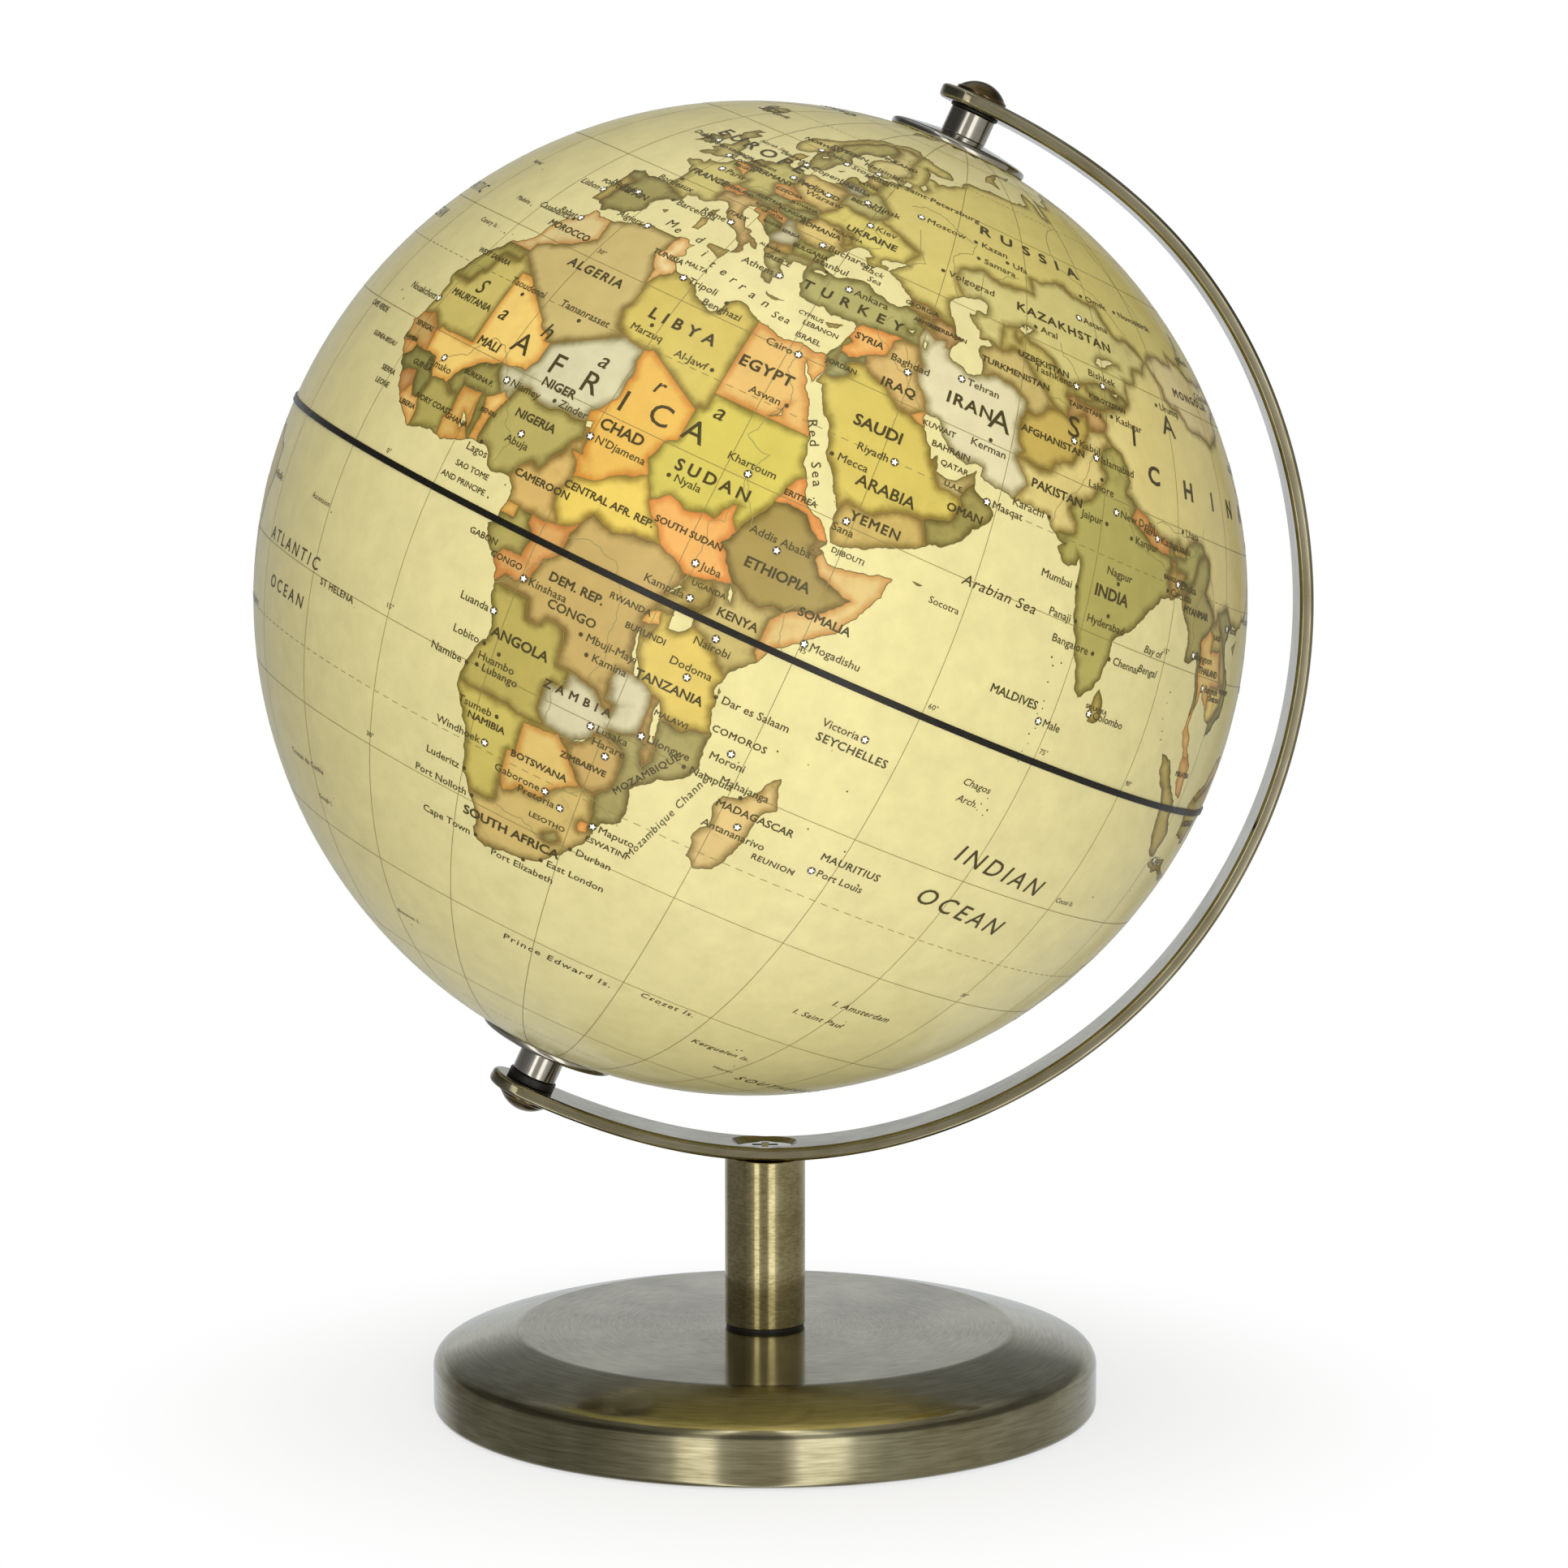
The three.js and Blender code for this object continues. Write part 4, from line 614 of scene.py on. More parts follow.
# open borders, one a row; a row that ends with a comma goes on in the next
# loose ends are joined to the nearest corner of another outline
borders = """
-2.2 35.1,-1.7 34.1,-1.2 32.5,-3 31.2,-4.9 30.2,-6 29.6,-8.6 28.8,-8.67 27.67,-8.67 27.3
-13.1 27.67,-8.67 27.67
-8.67 27.3,-8.67 26,-12 26,-12 23.4,-13 23,-13.1 21.35,-17 21.35
1.2 21.1,1.8 20.3,3.2 19.8,3.2 19.1,4.2 19.15
9.5 30.2,9.9 29,9.9 27,9.4 26.2,10 25,10.3 24.4,12 23.5
8.6 36.9,8.2 36.4,8.3 35,7.5 33.9,8.5 32.5,9.1 32.1,9.5 30.2,10.3 31.8,11.5 32.5,11.5 33.2
-5.5 15.5,-9.3 15.5,-10.7 15.4,-11.5 15.6,-12.2 14.8,-13.5 16,-14.5 16.6,-16.5 16.1
-12.2 14.8,-11.5 12.4,-13.7 12.6,-16.7 12.4
-16.8 13.5,-13.8 13.6
-13.7 12.6,-13.8 11.7,-15 10.9
-11.5 12.4,-9.3 12.3,-8.7 11,-8 10.2,-6.2 10.6,-5.5 10.4,-4.4 12.5,-2.9 13.7,-2 14.2,.2 15
-8 10.2,-8.3 7.6,-7.5 5.8,-7.5 4.35
-8.3 7.6,-9.4 7.4,-10.3 8.5,-11.5 6.9
-10.3 8.5,-11 10,-12.5 9.9,-13.3 9.05
-5.5 10.4,-4.3 9.7,-2.8 9.6,-2.8 11,0 11.1,.5 8.6,.6 6.9,1.2 6.1
-2.8 9.6,-2.5 8.2,-3.2 6.8,-2.8 5.1
0 11.1,.9 11,1.5 9.5,1.6 6.2
.9 11,2.4 12,2.8 12.4,3.6 11.7,2.8 9.5,2.7 6.4
.2 15,1 13.4,2.4 12
4.2 19.15,4.2 16.8,3.5 15.4,1 15,.2 15
3.6 11.7,4.1 13.5,5.5 13.9,7 13,9 12.8,10.5 13.3,12.5 13.1,13.6 13.4
14.1 12.8,14.4 11.5,13.5 10.8,13.2 9.6,12.2 8.4,11.5 6.6,10.2 7,9.2 6,8.6 4.8
13.7 13.4,13.5 14.5,15.5 16.9,15.6 20,15 21.5,15 23,16 23.45
12 23.5,13.5 23.2,15 23
24 19.5,24 15.7,22.9 15.2,22.4 13.5,22 12.7,22.9 11,21.5 10.2,19 9,17.7 8,15.5 7.5,15.2 8.8,14 10,15.3 10,
15 12,14.5 12.9
22.9 11,23.6 10,24.2 8.7,26 10.2,28 9.4,30 10,31.3 9.8,32.5 12,33 12.2,33.1 10.7,34 9.5
24.2 8.7,26.4 6.6,27.4 5.1,29.5 4.4,30.9 3.5,32.2 3.6,34 4.2,35.9 4.6,35.1 5.5,34 7.2,33 7.9,34 9.5
34 9.5,34.4 10.8,35.3 12.2,36.3 14.2,36.9 16,37.4 17.1,38.6 18
36.3 14.2,38 14.6,40 14.4,41.3 13,42.3 12.4,43.2 12.7
42.3 12.4,41.8 11.1,42.9 10.9,43.3 11.4
42.9 10.9,42.8 10.4,44 9,47 8,48 8,45 5,43.1 4.7,41.9 3.95,40.8 4.2,39.5 3.4,38 3.6,35.9 4.6
41.9 3.95,41 2.8,41 -.9,41.6 -1.6
34 4.2,34.9 1.5,34 .2
34 -1,37.6 -3,37.8 -3.6,39.3 -4.7
29.6 -1.4,30.5 -1.1,31.8 -1
30.5 -1.1,30.8 -2.4,30.4 -3.8,29.6 -4.5
30.8 -2.4,29.8 -2.8,29 -2.8
30.9 3.5,31.3 2.2
30.4 1.1,29.9 .6,29.6 -1.4,29 -2.8,29.3 -3.3
30.8 -8.4,28.7 -8.5,28.4 -9.4,28.6 -12,29.8 -12.2,29.8 -13.4,28.5 -12.9,27.2 -11.6,25.4 -11.3,24 -11,
22.2 -11,21.8 -7.3,19.4 -7,19 -8,17.5 -8.1,16.6 -5.9,13 -5.9,12.3 -6
12.2 -5.7,13.1 -4.6,14.4 -4.9,15.9 -3.9,16.5 -1.5,17.8 -.5,18 2,18.6 3.5,19.5 5,22.3 4.1,24.4 5,27.4 5.1
18.6 3.5,16.2 2.3,15 4,14.5 5.5,15.5 7.5
16.2 2.3,13.3 2.2,11.3 2.3,9.8 2.3
13.3 2.2,13.2 1.2,14.4 0,14 -2.3,11.7 -2.4,11.1 -3.9
11.3 2.3,11.3 1,9.8 1
24 -11,24 -13,22 -13,22 -16.2,23.4 -17.6,21.4 -17.9,18.5 -17.4,14 -17.4,11.8 -17.2
23.4 -17.6,25.2 -17.8,23.6 -18.2,21 -18.3,21 -22,20 -22,20 -24.8,20 -28.4,17.5 -28.7,16.4 -28.6
20 -24.8,20.8 -26.8,22.7 -25.5,25.5 -25.7,26.9 -23.7,29.4 -22.2,27.7 -20.5,25.2 -17.8
29.4 -22.2,31.3 -22.4,32.5 -21.3,32.9 -19,32.8 -16.8,30.4 -15.6
25.2 -17.8,27 -17.9
28.8 -16.5,28.9 -15.9,30.4 -15.6,30.2 -14.9,33.2 -14,33.3 -12.4,33.3 -10.8,33 -9.4,30.8 -8.4
33 -9.4,34 -9.6
33.2 -14,34.6 -14.6,34.3 -15.8,35.2 -17.1,35.8 -16,35.7 -14.6,34.9 -13.5
34.7 -11.5,37.5 -11.7,40.4 -10.5
31.3 -22.4,32 -24.5,32 -26.8,32.9 -26.85
31 -26,32 -25.9,32.1 -27,31.2 -27.3,30.8 -26.7,31 -26
27 -29.6,28.6 -28.6,29.4 -29.5,28.3 -30.4,27.3 -30.4,27 -29.6
34.25 31.3,34.95 29.5
35 29.5,35.5 31.5,35.7 32.7,35.7 33.3,35.1 33.1
35.7 33.3,36.6 34.2,35.95 34.65
35.7 32.7,36.8 32.3,38.8 33.4,39.2 32.2,37 31.5,38 30.5,37.5 30,36 29.2,35 29.3
39.2 32.2,42 31.1,44.7 29.2,46.5 29.1,47.9 30
46.5 29.1,47.6 28.6,48.4 28.5
38.8 33.4,41 34.4,41.3 36.4,42.3 37.2,40.7 37.1,38 36.8,36.7 36.7,36 35.9
42.3 37.2,44.8 37.2,45.4 36,46 35.1,45.5 34,46.1 33,47.7 31.4,47.8 30.9,48.5 30
44.8 37.2,44.3 38.4,44.8 39.7,46.5 38.9,48 39.4,48.1 38.6,48.9 38.4
42.8 16.4,43.5 17.4,46.4 17.1,48.2 18.2,52 19,53.1 16.65
52 19,55 20,55.7 22,55.2 22.7,52.6 22.9,51.6 24.2
55.2 22.7,55.8 24.2,56.4 24.9
50.8 25,51.4 24.6
53.9 37.3,56 38.1,59.3 37.5,61.1 36.6,61.2 35.6,60.6 34.3,60.9 31.5,61.8 30.8,60.9 29.8,62.7 28,63.2 27.2,
61.6 25.2
60.9 29.8,66.3 29.9,66.6 30.9,69.3 31.8,70.3 33.3,71.1 34.2,71.6 36.4,74.6 37.1,76 36,77.8 35.5,79.5 32.7,
78.8 31.3,81 30.2
61.2 35.6,63 35.5,64.7 37.1,66.5 37.3,68 37,69.5 37.4,71 38.3,71.6 36.8,74.6 37.4
66.5 37.3,64 39,62.3 40,60 42.2,58 42.5,56 41.4,54.5 42.1,52.5 41.8
56 41.4,56 45,58.6 45.6,61 44.3,65 43.5,66.1 42,68 41,69 41.3,71 42.2,73.5 43,75.8 42.9,80.2 42.1,
76.5 40.4,73.7 39.6,69.5 39.6
67.8 37.2,68.2 38.6,67.5 39.6,69.5 40.2,71 40.2,73 40.8,71.3 41.4,71 42.2
69.5 39.6,69.5 40.2
73.7 39.6,74.9 38.3,74.6 37.4,74.6 37.1
81 30.2,84 28.9,86 28,88.1 27.9,88.9 27.9,88.9 27.3,90 28.2,91.7 27.8,94 29.2,96.5 29.2,97.3 28.2
76 36,74 34.6,74 33,75.2 32.3,74.4 31,73.5 29.9,72.9 28.9,70.4 28,69.5 26.8,70.9 25.7,71 24.4,68.2 23.7
81 30.2,80.1 28.8,83 27.5,85 26.7,88 26.4,88.1 27.9
91.7 27.8,92 26.9,89.5 26.7,88.9 27.3
89 21.7,88.7 23.2,88.1 24.4,88.9 25.2,88.5 26.2,89.8 26,89.9 25.3,92.4 25,91.2 23.8,91.6 23,92.4 23.2,
92.6 21.9,92.3 20.8
92.6 21.9,93.3 24,94.6 25.2,95.2 26.7,97.3 28.2,98.7 27.5,98.7 25.8,97.6 24,99.5 22.9,101.2 21.3,
100.1 20.3,97.8 18.6,98.6 16.5,98.3 15.2,99.2 13.5,99.6 11.8,98.7 10.2
100.1 20.3,101.2 19.5,101 17.8,102.2 18.1,104 18.3,104.8 16.5,105.6 15.2,105.6 14.4,103 14.3,102.4 13.4,
102.9 11.7
105.6 14.4,107.5 14.6,107.5 12.4,106 11,104.5 10.4
107.5 14.6,107.3 15.8,105.2 18.5,104.2 19.8,103 20.9,102.1 22.4,101.8 21.2,101.2 21.3
102.1 22.4,105.3 23.3,106.7 22.2,108 21.5
100.1 6.5,101 5.8,102.1 6.2
87.3 49.1,87.8 49.1,91 46.7,91 45.2,95 44.3,97 42.7,101.5 42.6,105 41.6,109 42.5,112 43.5,112 45,116 46.5,
119.8 46.7,116 47.8,116.7 49.8
87.8 49.1,92 50.8,98 50.6,98.3 52,102.2 51.3,107 49.8,112 49.4,116.7 49.8,119.5 50.5,121 53.3,125.5 53,
127.5 50,130.8 48.8,134.7 48.3,133 45,131 44.8,130.6 42.6,130.7 42.3
80.2 42.1,80 45,82.5 45.3,83 47.2,85.7 47.3,87.3 49.1,83.5 51,80 50.8,76.7 54.3,71 54.2,69 55.3,65 54.5,
61 53.9,61.5 51.5,58 51.1,55 50.7,51.5 51.6,47.5 50.4,47 48.3,48.5 46.7,49.2 46.3
124.4 40,126.9 41.7,128.2 42,130.2 42.6,130.7 42.3
126.6 37.8,128.4 38.6
40 43.4,43 42.8,45 42.7,46.4 41.9,48.5 41.8
41.5 41.5,43.5 41.1,45 41.3,46.4 41.9
43.5 41.1,43.7 40.1,44.8 39.7
45 41.3,45.6 40.2,46.5 39.4,46.5 38.9
-8.9 41.9,-6.3 41.7,-7 40,-7.2 39,-7 38.1,-7.4 37.2
-1.8 43.4,.7 42.7,3.1 42.4
7.5 43.8,7 44.7,7 45.9,8.5 46.3,9.2 46,10.4 46.6,12.4 46.8,13.7 46.5,16.1 46.9,17.1 48,17 48.8,13.8 48.8
7 45.9,6.1 46.4,7.5 47.6,9.6 47.5,9.6 47,10.4 46.6
7.5 47.6,8.2 49,6.4 49.3,5.8 49.5,4.2 50,2.5 51.1
6.4 49.3,6.1 50.3,6 50.8,5 51.4,3.4 51.4
6 50.8,6.1 51.8,7 52.3,7.1 53.4
8.6 54.9,9.9 54.8
14.3 53.9,14.7 52.5,15 51,12.2 50.3,13.8 48.8,13 47.7,10.4 47.5,9.6 47.5
17 48.8,18.8 49.5,16.8 50.3,15 51
18.8 49.5,20.3 49.4,22.6 49.1,22.2 48.4,20.5 48.4,18.8 47.8,17.1 48
22.6 49.1,24 50.6,23.6 51.6,23.6 52.6,23.6 54,22.8 54.4,19.7 54.4
22.8 54.4,21.2 55.3
23.6 54,25.6 54.2,26.7 55.6,24.5 56.3,21.1 56.1
24.4 57.9,27.4 57.5,27.5 58.8,28 59.5
27.4 57.5,28.2 56.2,26.7 55.6
28.2 56.2,31 54.8,32.5 53.3,31.6 52.1,27.5 51.5,23.6 51.6
31.6 52.1,34.2 51.3,37.5 50.3,40 49.5,38.3 47.1
26.7 48.2,29 48,30 46.4,28.3 45.5,28.1 46.5,26.7 48.2,24.9 47.8,22.8 48,22.2 48.4
28.3 45.5,29.7 45.3
22.8 48,21.3 46.2,20.3 46.1,18.8 45.9,16.5 46.5,16.1 46.9
13.6 45.5,15.3 45.5,15.7 46.2,16.5 46.5
13.7 46.5,13.7 45.7
16.8 43.6,16.2 44.2,15.8 45.2,19 44.9,19.4 43.9,18.5 42.5
18.8 45.9,19 44.9
20.3 46.1,21.4 44.8,22.7 44.2,25.5 43.7,27.2 44.1,28.6 43.7
22.7 44.2,22.4 42.3,20.6 42,19.4 42
22.4 42.3,23 41.4,21 40.9,20.6 42
21 40.9,20 39.7
23 41.4,26.3 41.7,28 42
26.3 41.7,26.1 40.8
11.2 59,12.5 61.5,12 63.3,14.5 66,18 68.5,20.5 69,23.7 67.8,24.1 65.8
20.5 69,25.8 69.6,28.9 69,29.5 67.5,29.8 64.5,31.5 62.9,28 60.5
28.9 69,30.9 69.8
-7.3 55.2,-8 54.3,-6.2 54
-123 49,-95 49,-91 48.2
-84.5 46.5,-84 46
-82.5 43,-82.6 42.2,-83 41.6
-79 42.8,-79.3 43.3
-76.4 44,-75 45,-71 45.3,-69 47.3,-67.8 45.7,-67 44.9
-141 69.7,-141 60.3,-130 55
-117 32.5,-111 31.4,-106.5 31.8,-103 29,-101 29.8,-97.2 25.9
-92.2 14.6,-91 17.8,-88.3 18.5
-83.5 9.8,-83 8.3
-77.3 8.6,-77.9 7.2
-51.7 4.2,-54.5 2.3,-60 5,-64 4,-67 1.2,-69.8 -4.2,-73.5 -7.5,-70.5 -9.5,-69.5 -11,-65.3 -11.5,-60.5 -13.8,
-58 -17,-58 -20,-55.8 -22.3,-54.3 -25.5,-53.8 -27,-57.6 -30.2,-53.4 -33.7
-71.4 12.2,-72.5 9,-72 7,-67.5 6,-67 1.2
-78.8 1.4,-75.3 0,-69.8 -4.2
-75.3 0,-78 -4,-80.3 -3.4
-69.5 -11,-69 -15,-69.5 -17.5,-70.4 -18.3
-69.5 -17.5,-68.2 -21.5,-67 -22.8,-62.7 -22.2,-58 -20
-67 -22.8,-69.5 -28,-70 -33,-71.5 -39,-72 -47,-72 -51.8,-68.5 -52.4
-62.7 -22.2,-58 -27.3,-54.3 -25.5
-57.6 -30.2,-58.2 -33.5
-60 5,-60 8.3
-57.3 6,-56.5 2.5
-54 5.8,-54.5 2.3
141 -2.6,141 -9.1
109.6 2,112 1.5,115 2.8,117.8 4.2"""

# borders drawn with a ruler
ruledBorders = """
-8.67 27.3,-4.8 25,1.2 21.1
4.2 19.15,12 23.5
-4.8 25,-6.5 24.97,-5.5 15.5
16 23.45,24 19.5
25 31.6,25 22,25 20,24 20,24 19.5
25 22,36.9 22"""

rivers = """
31.2 31.4,31.2 30,31 28,32.6 26.2,32.9 24,31.5 22,30.5 19.5,32 18.6,33.8 18.5,33 17,32.5 15.6,32.6 13,
32.5 10,31 9.5,31.5 7,31.7 4.5,31 2
32.5 15.6,34.3 12.5,35.2 10.8,37.5 10.5,37.4 12
6.1 4.4,6.8 7.8,4 11.5,1 15,-1 16.8,-3 17,-5 14,-8 12.5,-10 10.5
12.3 -6,15.3 -4.3,17 -1,18 1.5,21 2.2,24 1.5,25.3 -.5,26.5 -4,27 -8,26 -11
36.2 -18.7,34 -16.5,30.5 -15.6,27 -17.9,23.5 -17.5,22.8 -14,24 -12
35.3 -24.7,32.5 -23,30 -22.2,27 -24
16.5 -28.6,20 -28.5,24 -29,27 -30.5
48.4 30,46 31.5,44.5 33,42 34.5,39.5 36,38.5 38,40 39.5
46.5 31.2,46 33,44 34.6,42.5 37
67.5 24,68 26.5,70.5 29,72 32,73 35,76 34.8,80 32
88.5 22,88 24.5,84.5 25.7,81 26.5,78.5 29.5
90.5 23,89.8 26,93 27,96 29,91 29.4,85 29.3
48 46,46.5 48.5,45.5 51.5,49 53.5,49.5 55.5,45 56.3,40 57.8,35 56.9
39.3 47.2,41.5 48.5,39.5 51,38.5 53.5
31.8 46.6,34 47.8,33 49.2,30.7 50.5,30.8 54
29.6 45.2,28 45,26 43.8,22.5 44.3,20.3 45,18.9 47.6,16 48.2,12 48.8,9 48
51.5 47,51.5 51,55 51.5,58.5 53
66.5 46.2,67 44.5,70 42
59 43.8,61 41.5,65 38.5,70 37.5
73.5 66.5,68.5 63,69 58,74.5 57,80 54.5,84 52
86 71,87 66,90 60,92.5 56
-1.5 14.5,-1 11
95.5 16,95 20,97 24,98.5 28
106 9.8,105 13,105 18,101 21,99 26,97 31
34.8 -11.5,36.5 -12.5,38.5 -11.2
43.6 .2,42.5 2,42 4.2,44 7,42 9"""
# lands: name as lettered, longitude, latitude, capital height in mm, colour, extra letter spacing;
# "!" marks a land printed with a scorched orange edge, "-" a land left unlettered at that spot
lands = """
MOROCCO|-6.4|31.9|1.5|cdb87c|1!
WEST SAHARA|-13.2|25.2|1.1|a79a4e|1
MAURITANIA|-10.6|19.6|1.4|c3b260|1
ALGERIA|2.6|28.6|1.9|bda868|1.25
TUNISIA|9.3|34.2|1.2|dcc68a|1!
LIBYA|17.2|27.2|2.3|c3af56|1.7
EGYPT|28.9|26.7|2.2|d2ab62|1.1!
MALI|-3.2|16.1|1.8|e3c068|1!
NIGER|8.6|15.2|1.75|c6bf98|1
CHAD|18|13.9|2.1|d6ab50|1!
SUDAN|29.4|13.4|2.2|c2b352|1.5
SOUTH SUDAN|29.6|7.4|1.25|d9a258|1!
ERITREA|38.7|15.6|1.1|d9a35c|1!
ETHIOPIA|39.8|7.3|1.9|958142|1
SOMALIA|46.3|4.9|1.6|ccb272|1!
-|44|10|1|ccb272|1!
-|42.4|11.6|1|a58a50|1
KENYA|38|1.4|1.6|b7a463|1
-|32.4|1.9|1|a38e4b|1
-|29.9|-2|1|d8c070|1!
-|30|-3.3|1|b59c58|1
DEM. REP.|21.2|-2.8|1.7|b59a5a|1
TANZANIA|34.4|-8|1.7|cdb45c|1
ANGOLA|17.6|-10.8|1.9|ac9d50|1
ZAMBIA|25.8|-13.3|1.6|c6bd98|1.8
-|33.6|-13.2|1|b79a58|1
-|37.6|-15.4|1|9d9156|1
NAMIBIA|16.6|-20.4|1.35|bfaf58|1
BOTSWANA|24.2|-22.2|1.35|cfb266|1!
ZIMBABWE|29|-19.7|1.2|b89a5a|1
SOUTH AFRICA|23|-31.4|1.9|c4aa64|1
-|31.4|-26.5|1|e0b060|1!
-|28.2|-29.6|1|a89a58|1
-|46.9|-19.4|1|d0b474|1
NIGERIA|8.2|11|1.6|a99c56|1
CAMEROON|12.6|5.4|1.4|c5a45e|1
CENTRAL AFR. REP.|20.4|6.6|1.4|d8bc58|1
-|15.3|-.6|1|c99a58|1!
-|12|-.6|1|a39650|1
-|10.4|1.6|1|d0b060|1!
GHANA|-1.2|7.3|1.1|c9a556|1!
-|1|8|1|a59a52|1
BENIN|2.2|9.6|.9|d9b768|1!
BURKINA F.|-1.6|12.4|1|9b8f4c|1
IVORY COAST|-5.6|7.7|1.1|a89a50|1
LIBERIA|-9.4|6.4|1|d8b56a|1!
-|-11.8|8.6|1|b58e54|1!
GUINEA|-10.6|10.8|1.1|8f8747|1
-|-15|12|1|d0a860|1!
SENEGAL|-14.6|14.7|1|c09c58|1!
GAMBIA|-15.4|12.9|.8|c09c58|1
SAUDI|43.6|26|2.2|c4b055|1
YEMEN|47.3|16.2|1.8|bba159|1.2
OMAN|56.4|21.4|1.6|978b4a|1
U.A.E.|54.2|23.6|1|cdb87c|1
-|51.2|25.1|1|b0a050|1
-|47.6|29.2|1|d8b870|1!
IRAQ|44|31.4|1.8|c8a866|1.1
SYRIA|38.4|35.2|1.4|d9a65c|1!
-|35.95|33.85|1|b0a050|1
-|34.9|31.2|1|a39c5c|1
JORDAN|36.6|30.9|1|9c9660|1
TURKEY|34.4|38.4|2.1|a29b5c|2
IRAN|53.4|33|2.4|cfc69c|1.2
TURKMENISTAN|59|39.4|1.3|bba664|1
UZBEKISTAN|63.4|42.2|1.3|bfae60|1
KAZAKHSTAN|68|48.6|2|c8bb74|1.2
KYRGYZSTAN|75.4|40.9|1|a89a55|1
TAJIKISTAN|70.9|38.9|1|c09a5c|1
AFGHANISTAN|66|33.4|1.4|b9a04f|1
PAKISTAN|67.6|27.8|1.7|cfbc74|1
INDIA|78.4|19.6|2.2|a69c52|1
-|75.5|33.5|1|a69c52|1
-|94|26.5|1|a69c52|1
NEPAL|84|28|1|c89c58|1!
BHUTAN|90.5|27.4|.8|e0c060|1
BANGLADESH|90|24|.9|b9984f|1
MYANMAR|95.6|21.4|1.4|a09350|1
THAILAND|101.4|15.6|1.3|d4b464|1!
LAOS|102.6|19.6|1|b7a252|1
CAMBODIA|104.9|12.9|.9|e0c468|1
VIETNAM|108.2|14|1|9b8f4a|1
MALAYSIA|102.3|4|1|c9a458|1!
CHINA|101|34.6|3.6|d3c27a|4
MONGOLIA|103|46.8|1.8|d4c184|1.4
RUSSIA|62|58.5|2.6|c9b968|2
-|21.5|54.8|1|c9b968|1
GEORGIA|43.3|42.1|1|bda060|1
ARMENIA|44.7|40.4|.8|b09858|1
AZERBAIJAN|47.9|40.4|.9|b8955c|1
PORTUGAL|-8|39.9|1.1|b5a052|1
SPAIN|-3.6|40|1.5|978c4c|1
FRANCE|2.4|46.8|1.6|c2b468|1
BELGIUM|4.9|50.6|.8|d8b868|1!
NETHERLANDS|5.8|52.3|.8|a69a50|1
GERMANY|10.4|51.2|1.3|b8ab62|1
DENMARK|9.2|56.1|.9|cdb45c|1
SWITZERLAND|8|46.8|.8|c9a662|1!
AUSTRIA|14|47.4|.9|a0985a|1
ITALY|12.4|43.2|1.1|bfa263|1
CZECHIA|15.4|49.8|.9|c9a866|1!
SLOVAKIA|19.4|48.7|.8|b0a358|1
HUNGARY|19.2|47|.9|968e50|1
POLAND|19.4|52.2|1.3|cbb167|1
LITHUANIA|23.8|55.2|.8|b8ad8a|1
LATVIA|25.4|56.9|.8|b3a452|1
ESTONIA|25.8|58.7|.8|ccb468|1
BELARUS|27.9|53.4|1.1|b3a865|1
UKRAINE|31.8|48.6|1.6|c9b962|1
MOLDOVA|28.4|47.3|.8|b49c54|1
ROMANIA|24.2|46.4|1.2|cdb46a|1
BULGARIA|25.2|42.8|1|a2984f|1
SERBIA|21|44|.8|b9b08a|1
CROATIA|16.4|45.5|.7|c0a25c|1!
BOSNIA|17.6|44.2|.7|8f8848|1
SLOVENIA|14.8|46.1|.7|b0a050|1
ALBANIA|20|41|.7|b59c58|1
-|21.7|41.5|1|cfae60|1
GREECE|22|39.8|1|b0a566|1
-|27|41.2|1|a29b5c|1
NORWAY|9|61.2|1.2|c9b76c|1
SWEDEN|15.5|62|1.3|a89c58|1
FINLAND|26.5|64.6|1.2|cdbd78|1
UNITED KINGDOM|-1.6|52.6|.9|b3a45e|1
IRELAND|-8|53|.9|a39a58|1
-|-6.8|54.6|1|b3a45e|1
ICELAND|-18.6|64.9|1|c3b264|1
GREENLAND|-41|74|2.2|d2c894|1.6
SRI LANKA|80.8|7.6|.8|b3a052|1
NORTH KOREA|127|40.4|.9|b8a458|1
SOUTH KOREA|128|36.4|.9|d0b060|1!
JAPAN|138.4|36.4|1.2|c9a85c|1
CANADA|-105|58|3.2|cdbb78|2.4
UNITED STATES|-100|40|2.6|c3b062|1.4
ALASKA|-153|65|1.6|c3b062|1
MEXICO|-103|24.5|1.8|d4b060|1!
-|-90.2|14.8|1|a89a50|1
-|-86|13.6|1|c9a45c|1
-|-80.6|8.4|1|b3a558|1
CUBA|-78.6|21.6|1|b09a50|1
COLOMBIA|-73.4|4|1.5|cfab5c|1!
VENEZUELA|-65.4|7.2|1.4|a89c52|1
-|-59|5.5|1|d6be74|1
-|-56|4.4|1|b8a254|1
-|-53|4|1|d8b868|1
ECUADOR|-78.4|-1.4|.9|b3a558|1
PERU|-75.6|-9.4|1.6|d8c078|1
BRAZIL|-51.5|-10.5|3|c2b060|2.2
BOLIVIA|-64.6|-17|1.5|d9ac60|1!
PARAGUAY|-58.6|-23.4|1.1|a0964e|1
CHILE|-70.7|-27|1|b59f55|1
ARGENTINA|-65.4|-35|1.8|cdb976|1.3
URUGUAY|-56|-32.8|1|c9a45c|1!
AUSTRALIA|134|-25.4|3.2|c9b56a|2
NEW ZEALAND|171.6|-43.6|1.1|a89c58|1
PAPUA|144.4|-6.6|1.1|b3a558|1
INDONESIA|113.6|-1.4|1.3|b09c50|1
-|114.6|3.8|1|c9a458|1
-|138.6|-4.6|1|b09c50|1
-|101.6|-.4|1|b09c50|1
-|110|-7.3|1|b09c50|1"""

